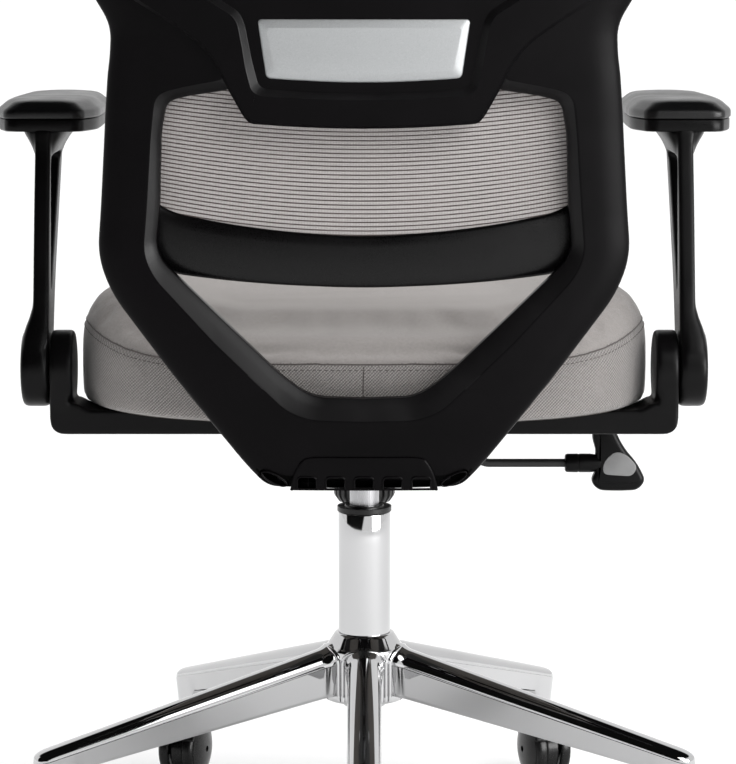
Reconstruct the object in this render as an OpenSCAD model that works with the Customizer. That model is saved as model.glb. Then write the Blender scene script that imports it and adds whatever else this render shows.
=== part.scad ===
/* [Base] */
// Radius from the column axis to the end of a base arm
base_r = 326; // [300:1:345]
// Width of a base arm where it meets the hub
arm_root_w = 33; // [28:1:38]
// Width of a base arm at its end
arm_tip_w = 30; // [26:1:34]
// Diameter of a caster wheel
wheel_d = 60; // [56:1:60]
// Distance of the wheel axle behind the caster stem
caster_trail = 22; // [18:1:24]

/* [Gas lift] */
// Outer diameter of the chromed column
column_d = 50; // [48:1:54]
// Diameter of the sliding gas cylinder
piston_d = 28; // [28:1:28]
// Height of the top end of the column
column_top = 320; // [312:1:324]

/* [Seat] */
// Width of the seat cushion
seat_w = 538; // [520:1:539]
// Height of the top of the seat
seat_top = 520; // [510:1:530]
// Height of the underside of the seat
seat_bottom = 433; // [433:1:433]
// Rearmost point of the seat
seat_rear = 212; // [205:1:213]
// Foremost point of the seat
seat_front = -268; // [-280:1:-250]

/* [Armrests] */
// Height of the top of an arm pad
pad_top_z = 716; // [710:1:730]
// Width of an arm pad
pad_w = 96; // [80:1:100]
// Length of an arm pad
pad_len = 250; // [220:1:260]
// Distance of the arm pads' centre lines from the middle
pad_x = 297; // [295:1:299]

/* [Backrest] */
// Height of the top of the backrest
back_top = 1130; // [1080:1:1180]
// Radius to which the backrest wraps around the sitter
wrap_r = 1200; // [1100:50:1600]
// Width of the backrest at the waist
waist_w = 440; // [436:1:444]
// Width of the backrest at the shoulders
shoulder_w = 524; // [500:1:540]

/* [Hidden] */
fine = 64;
gap = 0.3;                  // air between soft or moulded neighbours
run = 0.05;                 // radial clearance of a running fit

arm_turn = [90, 162, 234, 306, 18];      // direction of each base arm
trail_turn = [90, 127, 110, 70, 53];    // direction each caster trails at rest
stem_r = 5.5;
stem_at = base_r - 21;      // distance of a caster stem from the column axis
socket_bottom = 72;
axle_r = 3;
wheel_t = 17;
wheel_space = 15;           // between the two wheels of a caster

hub_r = 38;
hub_bottom = 137;
hub_top = 202;
column_bottom = 130;
column_r = column_d / 2;
piston_r = piston_d / 2;
rod_r = 5;

mech_bottom = 372;
mech_top = 402;
mech_x = 55;
mech_front = -118;
mech_rear = 70;
pivot_y = -48;
pivot_z = 412;
knob_y = -80;
spring_r = 17;
lever_y = 2;
lever_pivot = [-28, 411];      // x and z of the lever's pivot

pan_t = 12;
frame_t = 22;               // thickness of the rear frame
window_z = [461, 732];
hoop_t = 16;
hoop_gap = 1;               // air between the rear frame and the hoop
arm_hub_y = 84;
arm_hub_z = 469;
arm_hub_r = 35.5;
hub_in = [268, 289.7];      // bracket side of the arm hinge
hub_out = [290, 316];       // arm side of the arm hinge

// ---------- helpers ----------
function arc(c, r, a0, a1, n) =
    [for (i = [0 : n]) let (a = a0 + (a1 - a0) * i / n) [c[0] + r * cos(a), c[1] + r * sin(a)]];
function mirrored(p) = concat(p, [for (i = [len(p) - 1 : -1 : 0]) [-p[i][0], p[i][1]]]);

// A straight round bar of length len from [x, z], leaning down by lean degrees as it runs to -X
module bar(at, y, r, len, lean) {
    translate([at[0], y, at[1]]) rotate([0, -90 - lean, 0]) cylinder(r = r, h = len, $fn = fine);
}

// A bend of a round bar in the front view, about [x, z], from angle a0 through turn degrees
module bend(at, y, r, bend_r, a0, turn) {
    translate([at[0], y, at[1]]) rotate([90, 0, 0]) rotate([0, 0, a0])
        rotate_extrude(angle = turn, $fn = fine) translate([bend_r, 0]) circle(r = r, $fn = fine);
}

// An outline drawn in the front view, extruded from y0 to y1
module front_view(y0, y1) {
    translate([0, y1, 0]) rotate([90, 0, 0]) linear_extrude(height = y1 - y0) children();
}

// An outline drawn in the side view (y, z), extruded from x0 to x1
module side_view(x0, x1) {
    translate([x0, 0, 0]) rotate([90, 0, 90]) linear_extrude(height = x1 - x0) children();
}

// Rear face of the backrest on the middle line
REAR = [[228, 360], [236, 400], [243, 440], [247, 480], [250, 540], [252, 620],
        [256, 700], [262, 780], [270, 860], [282, 960], [298, 1060], [312, 1140]];

// A layer of the backrest between two depths behind its rear face, wrapped about the sitter
module wrapped(d0, d1) {
    outer = [for (p = REAR) [p[0] - d0 + wrap_r - 250, p[1]]];
    inner = [for (i = [len(REAR) - 1 : -1 : 0]) [REAR[i][0] - d1 + wrap_r - 250, REAR[i][1]]];
    translate([0, 250 - wrap_r, 0]) rotate([0, 0, 75]) rotate_extrude(angle = 30, $fn = 180)
        polygon(concat(outer, inner));
}

// ---------- base and casters ----------
module base_arm() {
    top = [[30, 192], [base_r - 4, 107], [base_r, 100]];
    low = [[base_r, socket_bottom], [base_r - 36, socket_bottom], [base_r - 40, 90], [30, 144]];
    wall = 4;
    difference() {
        intersection() {
            translate([0, 50, 0]) rotate([90, 0, 0]) linear_extrude(height = 100) polygon(concat(top, low));
            translate([0, 0, 60]) linear_extrude(height = 150) polygon(concat(
                [[20, arm_root_w / 2], [20, -arm_root_w / 2]],
                arc([base_r - arm_tip_w / 2, 0], arm_tip_w / 2, -90, 90, 12)));
        }
        // the arm is a channel, open below between the hub and the boss of the caster stem
        translate([0, arm_tip_w / 2 - wall, 0]) rotate([90, 0, 0])
            linear_extrude(height = arm_tip_w - 2 * wall)
                polygon([[44, 120], [44, 188 - wall], [stem_at - 12, 116 - wall], [stem_at - 12, 60]]);
    }
}

module five_star_base() {
    color("silver") difference() {
        union() {
            for (a = arm_turn) rotate([0, 0, a]) base_arm();
            translate([0, 0, hub_bottom]) cylinder(r = hub_r, h = 48, $fn = fine);
            translate([0, 0, hub_bottom + 48])
                cylinder(r1 = hub_r, r2 = column_r + 3, h = hub_top - hub_bottom - 48, $fn = fine);
        }
        translate([0, 0, hub_bottom - 1]) cylinder(r = column_r - 0.5, h = 100, $fn = fine);
        for (a = arm_turn) rotate([0, 0, a]) translate([stem_at, 0, socket_bottom - 1])
            cylinder(r = stem_r, h = 26, $fn = fine);
    }
}

module caster_stems() {
    color("dimgray") for (a = arm_turn) rotate([0, 0, a]) translate([stem_at, 0, 0]) {
        translate([0, 0, 47]) cylinder(r = stem_r, h = 48, $fn = fine);
        translate([0, 0, socket_bottom - 2.5]) cylinder(r = 9, h = 2.5, $fn = fine);
    }
}

// Places a caster piece at arm k, with +X along its trail and the origin under its stem
module at_caster(k) {
    rotate([0, 0, arm_turn[k]]) translate([stem_at, 0, 0])
        rotate([0, 0, trail_turn[k] - arm_turn[k]]) children();
}

module caster_hood(k) {
    axle_z = wheel_d / 2;
    half = wheel_space / 2 + wheel_t;
    color("black") at_caster(k) difference() {
        union() {
            // central web between the wheels
            translate([0, (wheel_space - 1) / 2, 0]) rotate([90, 0, 0])
                linear_extrude(height = wheel_space - 1)
                    polygon(concat(arc([caster_trail, axle_z], 26, -70, 120, 20),
                        [[-9, 66], [-9, 44], [caster_trail - 12, 18]]));
            // fender over both wheels
            intersection() {
                translate([caster_trail, half - 2, axle_z]) rotate([90, 0, 0]) difference() {
                    cylinder(r = axle_z + 4.5, h = 2 * half - 4, $fn = fine);
                    translate([0, 0, -1]) cylinder(r = axle_z + 1.5, h = 2 * half, $fn = fine);
                }
                translate([caster_trail - 60, -half, axle_z + 14]) cube([96, 2 * half, 30]);
            }
            translate([0, 0, 46]) cylinder(r = 10.5, h = 22, $fn = fine);
        }
        // bore for the stem and for the axle
        translate([0, 0, 46]) cylinder(r = stem_r + run, h = 40, $fn = fine);
        translate([caster_trail, 30, axle_z]) rotate([90, 0, 0]) cylinder(r = axle_r, h = 60, $fn = fine);
        // room for the wheels beside the stem boss
        for (s = [0, 1]) mirror([0, s, 0])
            translate([caster_trail, wheel_space / 2 + 30, axle_z]) rotate([90, 0, 0])
                cylinder(r = axle_z + 1, h = 30, $fn = fine);
    }
}

module caster_axle(k) {
    len = wheel_space + wheel_t;
    color("silver") at_caster(k) translate([caster_trail, len / 2, wheel_d / 2])
        rotate([90, 0, 0]) cylinder(r = axle_r, h = len, $fn = fine);
}

module caster_wheels(k) {
    r = wheel_d / 2;
    color("black") at_caster(k) for (s = [0, 1]) mirror([0, s, 0])
        translate([caster_trail, wheel_space / 2, r]) rotate([-90, 0, 0]) difference() {
            rotate_extrude($fn = fine) polygon(concat(
                [[0, 1], [9, 1], [10, 6], [r - 6, 6], [r - 4, 0.5], [r - 1.5, 0.5]],
                arc([r - 3, 3.5], 3, -60, 30, 4), [[r, 9]],
                arc([0, wheel_t - 61.7], 61.7, 61.5, 90, 10)));
            cylinder(r = axle_r + run, h = wheel_t / 2, $fn = fine);
        }
}

// ---------- gas lift ----------
module gas_column() {
    color("silver") rotate_extrude($fn = fine) polygon([
        [rod_r + run, column_bottom], [21, column_bottom], [column_r - 0.5, column_bottom + 40],
        [column_r - 0.5, hub_top], [column_r, hub_top + 0.2], [column_r, column_top - 1],
        [column_r - 1, column_top], [column_r - 2.5, column_top], [column_r - 2.5, column_bottom + 44],
        [18, column_bottom + 5], [rod_r + run, column_bottom + 5]]);
}

module column_bushing() {
    color("black") rotate_extrude($fn = fine) polygon([
        [piston_r + run, column_top - 75], [column_r - 2.5, column_top - 75], [column_r - 2.5, column_top],
        [column_r + 0.5, column_top], [column_r + 0.5, column_top + 4], [column_r - 2, column_top + 7],
        [column_r - 4, column_top + 11], [piston_r + run, column_top + 11]]);
}

module thrust_bearing() {
    color("silver") translate([0, 0, column_bottom + 5]) difference() {
        cylinder(r = 13, h = 7, $fn = fine);
        translate([0, 0, -1]) cylinder(r = rod_r + run, h = 9, $fn = fine);
    }
}

module piston_rod() {
    color("silver") {
        translate([0, 0, column_bottom - 4]) cylinder(r = rod_r, h = 174, $fn = fine);
        translate([0, 0, column_bottom + 170]) cylinder(r = piston_r - 2 - run, h = 10, $fn = fine);
    }
}

module retaining_clip() {
    color("dimgray") translate([0, 0, column_bottom - 3]) difference() {
        cylinder(r = 9, h = 2.5, $fn = fine);
        translate([0, 0, -1]) cylinder(r = rod_r, h = 5, $fn = fine);
    }
}

module gas_cylinder() {
    low = 196;
    color("gainsboro") rotate_extrude($fn = fine) polygon([
        [rod_r + run, low], [piston_r - 1, low], [piston_r, low + 2], [piston_r, mech_top - 1],
        [4 + run, mech_top - 1], [4 + run, mech_top - 14], [piston_r - 2, mech_top - 14],
        [piston_r - 2, low + 14], [rod_r + run, low + 14]]);
}

module release_button() {
    color("silver") translate([0, 0, mech_top - 8]) cylinder(r = 4, h = 12, $fn = fine);
}

// ---------- mechanism ----------
module mechanism_housing() {
    wall = 3;
    color("black") difference() {
        union() {
            difference() {
                translate([-mech_x, mech_front, mech_bottom])
                    cube([2 * mech_x, mech_rear - mech_front, mech_top - mech_bottom]);
                translate([-mech_x + wall, mech_front + wall, mech_bottom + wall])
                    cube([2 * (mech_x - wall), mech_rear - mech_front - 2 * wall, 60]);
            }
            translate([0, 0, mech_bottom - 6]) cylinder(r = 24, h = mech_top - mech_bottom + 4, $fn = fine);
            translate([0, knob_y, mech_bottom - 18]) cylinder(r = 26, h = 20, $fn = fine);
            // ears for the pivot pin
            for (x = [-mech_x, mech_x - wall]) side_view(x, x + wall) polygon(concat(
                [[pivot_y - 18, mech_top - 4], [pivot_y + 18, mech_top - 4]],
                arc([pivot_y, pivot_z], 9, 0, 180, 12)));
        }
        translate([0, 0, mech_bottom - 7]) cylinder(r = piston_r, h = 60, $fn = fine);
        translate([0, knob_y, mech_bottom - 14]) cylinder(r = spring_r + 4, h = 60, $fn = fine);
        translate([0, knob_y, mech_bottom - 30]) cylinder(r = 5 + run, h = 40, $fn = fine);
        translate([-mech_x - 1, pivot_y, pivot_z]) rotate([0, 90, 0])
            cylinder(r = 5, h = 2 * mech_x + 2, $fn = fine);
        // slots for the tilt lock bar and the lever
        translate([-mech_x - 1, lever_y - 9, mech_top - 12]) cube([wall + 2, 18, 20]);
        translate([-mech_x - 1, 36, mech_bottom + 10]) cube([wall + 2, 16, 12]);
    }
}

module tilt_spring() {
    turns = 4;
    per = 14;
    sides = 8;
    wire = 2.2;
    rise = 34;
    n = turns * per;
    pts = [for (i = [0 : n]) for (j = [0 : sides - 1])
        let (a = i * 360 / per, b = j * 360 / sides, q = spring_r - wire + wire * cos(b))
            [q * cos(a), q * sin(a), rise * i / n + wire * sin(b)]];
    faces = concat(
        [[for (j = [0 : sides - 1]) j]],
        [[for (j = [sides - 1 : -1 : 0]) n * sides + j]],
        [for (i = [0 : n - 1]) for (j = [0 : sides - 1]) let (k = (j + 1) % sides)
            [i * sides + j, (i + 1) * sides + j, (i + 1) * sides + k, i * sides + k]]);
    color("slategray") translate([0, knob_y, mech_bottom - 11]) polyhedron(points = pts, faces = faces);
}

module tilt_pivot_pin() {
    color("silver") translate([-mech_x - 6, pivot_y, pivot_z]) rotate([0, 90, 0])
        cylinder(r = 5, h = 2 * mech_x + 12, $fn = fine);
}

module tension_knob() {
    r = 30;
    low = 315;
    color("black") difference() {
        union() {
            translate([0, knob_y, low + 8]) cylinder(r = r - 2, h = 24, $fn = fine);
            translate([0, knob_y, low]) cylinder(r1 = r - 6, r2 = r - 2, h = 8, $fn = fine);
            for (i = [0 : 11]) translate([0, knob_y, 0]) rotate([0, 0, 30 * i])
                translate([r - 4, 0, low + 8]) cylinder(r = 4, h = 24, $fn = 24);
        }
        translate([0, knob_y, low + 4]) cylinder(r = 5, h = 60, $fn = fine);
    }
}

module tension_screw() {
    color("silver") {
        translate([0, knob_y, 319]) cylinder(r = 5, h = 81, $fn = fine);
        translate([0, knob_y, 398]) cylinder(r = 8, h = 5, $fn = 6);
    }
}

module tilt_lock_bar() {
    inner = lever_pivot[0] + 6;
    color("gray") difference() {
        union() {
            translate([-mech_x - 12, 38, mech_bottom + 12]) cube([2 * mech_x + 4, 12, 8]);
            translate([inner - 12, lever_y + 9, mech_bottom + 12]) cube([8, 32, 6]);
            translate([inner - 12, lever_y + 9, mech_bottom + 6])
                cube([12, 4, lever_pivot[1] - mech_bottom - 2]);
        }
        translate([lever_pivot[0], lever_y + 20, lever_pivot[1]]) rotate([90, 0, 0])
            cylinder(r = 2, h = 30, $fn = fine);
    }
}

// ---------- lever ----------
lever_r = 4;
lever_z = [411, 366.5];     // inner and outer run of the lever rod
lean = 30;
bend_1 = 12;
bend_2 = 20;

module lever_rod() {
    x1 = -35;
    p = [x1 - bend_1 * sin(lean), lever_z[0] - bend_1 * (1 - cos(lean))];
    fall = p[1] - lever_z[1] - bend_2 * (1 - cos(lean));
    x2 = p[0] - fall / tan(lean) - bend_2 * sin(lean);
    over = 0.5;             // the straight runs reach this far into the bends
    way = [cos(lean), sin(lean)];
    color("dimgray") {
        bar([6, lever_z[0]], lever_y, lever_r, 6 - x1 + over, 0);
        bend([x1, lever_z[0] - bend_1], lever_y, lever_r + run, bend_1, 90, lean);
        bar(p + over * way, lever_y, lever_r, fall / sin(lean) + 2 * over, lean);
        bend([x2, lever_z[1] + bend_2], lever_y, lever_r + run, bend_2, 270, lean);
        bar([x2 + over, lever_z[1]], lever_y, lever_r, x2 + 200 + over, 0);
        // pivot pin on the side of the inner run
        translate([lever_pivot[0], lever_y + 12.8, lever_pivot[1]]) rotate([90, 0, 0])
            cylinder(r = 2 - run, h = 11, $fn = fine);
    }
}

module lever_socket() {
    color("black") difference() {
        translate([-192, lever_y, lever_z[1]]) rotate([0, -90, 0]) rotate_extrude($fn = fine)
            polygon([[0, 0], [7, 0], [9, 4], [9, 26], [7.5, 36], [0, 36]]);
        translate([-191, lever_y, lever_z[1]]) rotate([0, -90, 0]) cylinder(r = 4, h = 9, $fn = fine);
    }
}

// Outline of the paddle: a bell shape, narrow above and wide below
function paddle_outline() = concat(
    arc([-228.5, 394.3], 9.3, 0, 150, 8),
    [[-248.5, 380.5], [-260.8, 366.5]],
    arc([-256, 353], 12, 165, 265, 8),
    arc([-228.5, 351], 10.2, 275, 380, 8),
    [[-221, 358], [-221, 380]]);

// Outline of the badge, larger by d all round
function badge_outline(d) = concat(
    arc([-241, 367.5], 9.5 + d, 60, 150, 6),
    arc([-251.5, 363.5], 8 + d, 150, 260, 6),
    arc([-238, 364.5], 9 + d, 260, 420, 8));

module lever_paddle() {
    color("black") difference() {
        front_view(lever_y - 10, lever_y + 7) polygon(paddle_outline());
        translate([-191, lever_y, lever_z[1]]) rotate([0, -90, 0]) rotate_extrude($fn = fine)
            polygon([[0, -2], [9, -2], [9, 27], [7.5, 37], [0, 37]]);
        front_view(lever_y + 5.5, lever_y + 20) polygon(badge_outline(0.5));
    }
}

module lever_badge() {
    color("gray") front_view(lever_y + 5.5, lever_y + 6.5) polygon(badge_outline(0));
}

// ---------- seat ----------
// Plan outline of the seat, inset by d
function seat_plan(d) =
    let (w = seat_w / 2 - d, back = seat_rear - d, front = seat_front + d, c = 175 - d, f = 70 - d)
    mirrored(concat(
        arc([0, back - 900], 900, 90, 82, 5),
        arc([w - c, back - 12 - c], c, 72, 0, 12),
        [[w, 20]],
        arc([w - 8 - f, front + 14 + f], f, 0, -72, 8),
        arc([0, front + 900], 900, -80.5, -90, 6)));

module seat_pan() {
    color("dimgray") translate([0, 0, seat_bottom]) linear_extrude(height = pan_t)
        polygon(seat_plan(14));
}

module seat_cushion() {
    color("silver") difference() {
        union() {
            translate([0, 0, seat_bottom]) linear_extrude(height = seat_top - seat_bottom - 22)
                polygon(seat_plan(0));
            translate([0, 0, seat_top - 22.01]) linear_extrude(height = 22.01) polygon(seat_plan(14));
        }
        translate([0, 0, seat_bottom - 1]) linear_extrude(height = pan_t + 1) polygon(seat_plan(14));
    }
}

module tilt_plate() {
    top = seat_bottom;
    flange = mech_x + 1;
    color("dimgray") difference() {
        union() {
            translate([-95, -112, top - 3]) cube([190, 204, 3]);
            for (s = [0, 1]) mirror([s, 0, 0]) translate([flange, pivot_y - 22, pivot_z - 12])
                cube([3, 44, top - pivot_z + 12]);
        }
        translate([-52, -26, top - 10]) cube([104, 80, 20]);
        translate([0, knob_y, top - 10]) cylinder(r = 12, h = 20, $fn = fine);
        translate([-100, pivot_y, pivot_z]) rotate([0, 90, 0]) cylinder(r = 5 + run, h = 200, $fn = fine);
    }
}

module seat_bolts() {
    color("silver") for (x = [-80, 80], y = [-98, 78]) translate([x, y, seat_bottom - 3]) {
        cylinder(r = 3, h = 14, $fn = fine);
        translate([0, 0, -4]) cylinder(r = 5.5, h = 4, $fn = fine);
    }
}

// Bracket for the armrest on the +X side
module arm_bracket() {
    low = 410;
    r = 40;
    color("black") difference() {
        union() {
            // flat bar under the seat that turns up outside it
            front_view(arm_hub_y - 28, arm_hub_y + 28) polygon(concat(
                [[104, seat_bottom], [104, low]],
                arc([hub_in[1] - r, low + r], r, -90, 0, 10),
                [[hub_in[1], arm_hub_z], [hub_in[0] + 6, arm_hub_z],
                 [hub_in[0] + 6, seat_bottom - gap], [250, seat_bottom]]));
            side_view(hub_in[0] + 5, hub_in[1]) polygon(
                [[arm_hub_y - arm_hub_r, arm_hub_z], [arm_hub_y - 28, low + 22],
                 [arm_hub_y + 28, low + 22], [arm_hub_y + arm_hub_r, arm_hub_z]]);
            translate([hub_in[0], arm_hub_y, arm_hub_z]) rotate([0, 90, 0])
                cylinder(r = arm_hub_r, h = hub_in[1] - hub_in[0], $fn = fine);
        }
        translate([hub_in[0] - 1, arm_hub_y, arm_hub_z]) rotate([0, 90, 0])
            cylinder(r = 6, h = 40, $fn = fine);
        for (x = [125, 165]) translate([x, arm_hub_y, low - 1]) cylinder(r = 3.5, h = 40, $fn = fine);
    }
}

module arm_pin() {
    color("silver") translate([hub_in[0] + 5, arm_hub_y, arm_hub_z]) rotate([0, 90, 0])
        cylinder(r = 6, h = 36.5, $fn = fine);
}

// Armrest upright on the +X side: hinge drum, tapering loop and flared top
module arm_upright() {
    leg = [287, 305];
    top = 686;
    color("black") difference() {
        union() {
            translate([hub_out[0], arm_hub_y, arm_hub_z]) rotate([0, 90, 0])
                cylinder(r = arm_hub_r, h = hub_out[1] - hub_out[0], $fn = fine);
            side_view(hub_out[0], leg[1]) polygon([
                [52, arm_hub_z], [110, arm_hub_z], [101, 520], [78, 620], [62, 670], [60, top],
                [-88, top], [-60, 670], [-8, 600], [32, 540]]);
            front_view(-88, 60) polygon([[274, top], [281, 674], [hub_out[0], 658], [leg[1], 658],
                [312, 674], [320, top]]);
        }
        // tapering opening between the two legs
        side_view(260, 340) polygon(concat(
            arc([74, 548], 8, 200, 350, 8), arc([44, 652], 14, 0, 90, 6), arc([-14, 652], 14, 90, 215, 8)));
        translate([hub_out[0] - 1, arm_hub_y, arm_hub_z]) rotate([0, 90, 0])
            cylinder(r = 6 + run, h = 21, $fn = fine);
        // the flare narrows towards the front
        translate([0, -88, 650]) cube([600, 14, 20]);
    }
}

// Plan outline of an arm pad, inset by d
function pad_plan(d) =
    let (w = pad_w / 2 - d, rear = 62 - d, front = 62 - pad_len + d)
    mirrored([[0, rear], [w - 20, rear], [w - 12, rear - 4], [w, rear - 42], [w, rear - 100],
        [w - 6, front + 14], [w - 14, front], [0, front]]);

module pad_shell() {
    color("black") translate([pad_x, 0, 686]) linear_extrude(height = 12) polygon(pad_plan(1));
}

module pad_top() {
    color("dimgray") translate([pad_x, 0, 0]) {
        translate([0, 0, 698]) linear_extrude(height = 8) polygon(pad_plan(0));
        translate([0, 0, 706]) linear_extrude(height = 5) polygon(pad_plan(5));
        translate([0, 0, 711]) linear_extrude(height = pad_top_z - 711) polygon(pad_plan(10));
    }
}

module seat_side(s) {
    mirror([s < 0 ? 1 : 0, 0, 0]) children();
}

// ---------- backrest ----------
// Outer outline of the rear frame, from its foot to the shoulders
function frame_outline() = mirrored([
    [0, 377], [86, 378], [104, 398], [132, 434], [166, 478], [199, 521], [223, 558],
    [231, 574], [232.5, 592], [229, 650], [225, 721], [waist_w / 2, 779], [222, 795], [233, 811],
    [shoulder_w / 2 - 9, 846], [shoulder_w / 2, 880], [shoulder_w / 2 + 1, 920],
    [shoulder_w / 2 - 5, 980], [shoulder_w / 2 - 18, 985], [shoulder_w / 2 - 30, 940],
    [shoulder_w / 2 - 44, 880], [200, 846]]);

function frame_window() = mirrored([
    [0, window_z[0]], [45, window_z[0] + 1], [58, 467], [72, 479], [99, 504], [132, 537], [166, 569],
    [178, 582], [183, 597], [180, 628], [178, 698], [175, 713], [168, 722], [155, 726], [119, 732],
    // from here the edge is hidden under the brace
    [111, 736], [121, 758], [136, 779], [166, 801], [196, 828], [200, 846], [0, 846]]);

module back_frame() {
    color("black") difference() {
        union() {
            intersection() {
                wrapped(0, frame_t);
                front_view(100, 400) difference() {
                    polygon(frame_outline());
                    polygon(frame_window());
                }
            }
            // tongue that runs forward under the seat
            side_view(-78, 78) polygon([[104, 404], [104, seat_bottom], [seat_rear + 2, seat_bottom],
                [222, 440], [222, 452], [236, 452], [234, 396], [226, 382], [190, 398]]);
        }
        // slots in the foot
        for (x = [-56, -28, 0, 28, 56]) translate([x - 9, 215, 370]) cube([18, 60, 14]);
        // bolt holes
        for (x = [-50, 50], y = [124, 168]) translate([x, y, 380]) cylinder(r = 3.5, h = 60, $fn = fine);
    }
}

module back_bolts() {
    color("silver") for (x = [-50, 50], y = [124, 168]) translate([x, y, 0]) {
        translate([0, 0, 398]) cylinder(r = 3.4, h = seat_bottom - 398 + 10, $fn = fine);
        translate([0, 0, 394]) cylinder(r = 6, h = 8, $fn = fine);
    }
}

function brace_outline() = mirrored([
    [0, 700], [94, 703], [102, 708], [116, 733], [128, 753], [142, 772], [172, 793], [204, 811],
    [230, 834], [shoulder_w / 2 - 15, 864], [shoulder_w / 2 - 13, 906], [shoulder_w / 2 - 24, 914],
    [200, 892], [150, 856], [108, 838], [0, 834]]);

module back_brace() {
    color("black") difference() {
        intersection() {
            wrapped(-8, frame_t - 4);
            front_view(100, 400) polygon(brace_outline());
        }
        front_view(256, 400) polygon([[-84, 738], [84, 738], [94, 795], [-94, 795]]);
        // the rear frame keeps its own place beside the brace
        intersection() {
            wrapped(0, frame_t);
            front_view(100, 400) difference() {
                polygon(frame_outline());
                polygon(frame_window());
            }
        }
    }
}

module brace_plaque() {
    color("lightgray") front_view(256, 261) polygon(mirrored([[0, 739.5], [80, 743], [84, 746],
        [91.5, 790], [88, 793.5], [0, 793.5]]));
}

// Depth of the backrest's rear face at height z, from side to side
function rear_y(x, z) = lookup(z, [for (p = REAR) [p[1], p[0]]]) - wrap_r + sqrt(wrap_r * wrap_r - x * x);

// Half widths of the hoop that carries the mesh, at heights z
HOOP = [[640, 214], [680, 213], [720, 212], [750, 212], [778, 213], [800, 224], [830, 242], [860, 255],
    [900, 262], [950, 261], [1000, 257], [1040, 251]];
// One edge of the hoop, d inside its outer edge; the bottom rail is taller than d
function hoop_edge(d) =
    let (rail = d > 0 ? 46 : 0, dip = d > 0 ? 22 : 12, k = shoulder_w / 524)
    mirrored(concat(
        [for (x = [0 : 30 : 150]) [x, 558 + rail + dip * pow(x / 180, 2)]],
        arc([186 - d, 600 + rail * 0.9], 28 - d * 0.4, -50, -5, 4),
        [for (p = HOOP) [p[1] * k - d, max(p[0], d > 0 ? 652 : 0)]],
        arc([200 - d, back_top - 50 - d * 0.4], 49 - d * 0.4, 8, 84, 5),
        [for (x = [150 : -30 : 0]) [x, back_top + 6 * (1 - pow(x / 180, 2)) - d]]));

module mesh_hoop() {
    outer = hoop_edge(0);
    inner = hoop_edge(26);
    front = frame_t + hoop_gap + hoop_t;
    rear = frame_t + hoop_gap;
    n = len(outer);
    function at(p, depth) = [p[0], rear_y(p[0], p[1]) - depth, p[1]];
    pts = [for (k = [0 : n - 1]) each
        [at(outer[k], front), at(outer[k], rear), at(inner[k], rear), at(inner[k], front)]];
    faces = [for (k = [0 : n - 1]) for (j = [0 : 3]) let (
        next = 4 * ((k + 1) % n),
        a = 4 * k + j, b = 4 * k + (j + 1) % 4, c = next + (j + 1) % 4, d = next + j)
        each [[a, b, c], [a, c, d]]];
    color("black") polyhedron(points = pts, faces = faces);
}

module hoop_screws() {
    color("silver") for (s = [-1, 1], p = [[206, 650], [206, 706], [254.5, 936]])
        translate([s * p[0], rear_y(p[0], p[1]) - 14, p[1]]) rotate([90, 0, 0])
            cylinder(r = 2.5, h = 20, $fn = fine);
}

module mesh_panel() {
    across = 12;
    up = 14;
    thick = 2;
    depth = frame_t + hoop_gap + 6;
    // half width of the mesh at height z: it ends inside the hoop's rails
    half = [for (p = HOOP) [p[0], p[1] * shoulder_w / 524 - 14]];
    function at(i, j, d) = let (
        u = 2 * j / across - 1,
        z0 = 596 + 22 * u * u,
        z1 = back_top - 12 - 8 * pow(abs(u), 4),
        z = z0 + (z1 - z0) * i / up,
        x = u * lookup(z, half)) [x, rear_y(x, z) - depth - d, z];
    row = across + 1;
    size = row * (up + 1);
    pts = concat([for (i = [0 : up]) for (j = [0 : across]) at(i, j, 0)],
        [for (i = [0 : up]) for (j = [0 : across]) at(i, j, thick)]);
    rim = concat([for (j = [0 : across]) j], [for (i = [1 : up]) i * row + across],
        [for (j = [across - 1 : -1 : 0]) up * row + j], [for (i = [up - 1 : -1 : 1]) i * row]);
    faces = concat(
        [for (i = [0 : up - 1]) for (j = [0 : across - 1]) let (a = i * row + j) each
            [[a, a + row, a + row + 1], [a, a + row + 1, a + 1]]],
        [for (i = [0 : up - 1]) for (j = [0 : across - 1]) let (a = size + i * row + j) each
            [[a, a + row + 1, a + row], [a, a + 1, a + row + 1]]],
        [for (k = [0 : len(rim) - 1]) let (a = rim[k], b = rim[(k + 1) % len(rim)]) each
            [[a, b, b + size], [a, b + size, a + size]]]);
    color("gray") polyhedron(points = pts, faces = faces);
}

five_star_base();
caster_stems();
gas_column();
column_bushing();
thrust_bearing();
for (k = [0 : 4]) {
    caster_hood(k);
    caster_axle(k);
    caster_wheels(k);
}
piston_rod();
retaining_clip();
gas_cylinder();
release_button();
mechanism_housing();
tilt_spring();
tilt_pivot_pin();
tension_knob();
tension_screw();
tilt_lock_bar();
lever_rod();
lever_socket();
lever_paddle();
lever_badge();
tilt_plate();
seat_pan();
seat_cushion();
seat_side(1) arm_bracket();  // arm_bracket_left
seat_side(-1) arm_bracket();  // arm_bracket_right
seat_bolts();
back_bolts();
back_frame();
back_brace();
brace_plaque();
mesh_hoop();
mesh_panel();
hoop_screws();
seat_side(1) arm_upright();  // arm_left
seat_side(-1) arm_upright();  // arm_right
seat_side(1) arm_pin();  // arm_pin_left
seat_side(-1) arm_pin();  // arm_pin_right
seat_side(1) pad_shell();  // pad_shell_left
seat_side(-1) pad_shell();  // pad_shell_right
seat_side(1) pad_top();  // pad_top_left
seat_side(-1) pad_top();  // pad_top_right
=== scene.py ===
import math

import bmesh
import bpy
import numpy as np
from mathutils import Matrix, Vector
from mathutils.bvhtree import BVHTree
from mathutils.kdtree import KDTree


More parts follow.
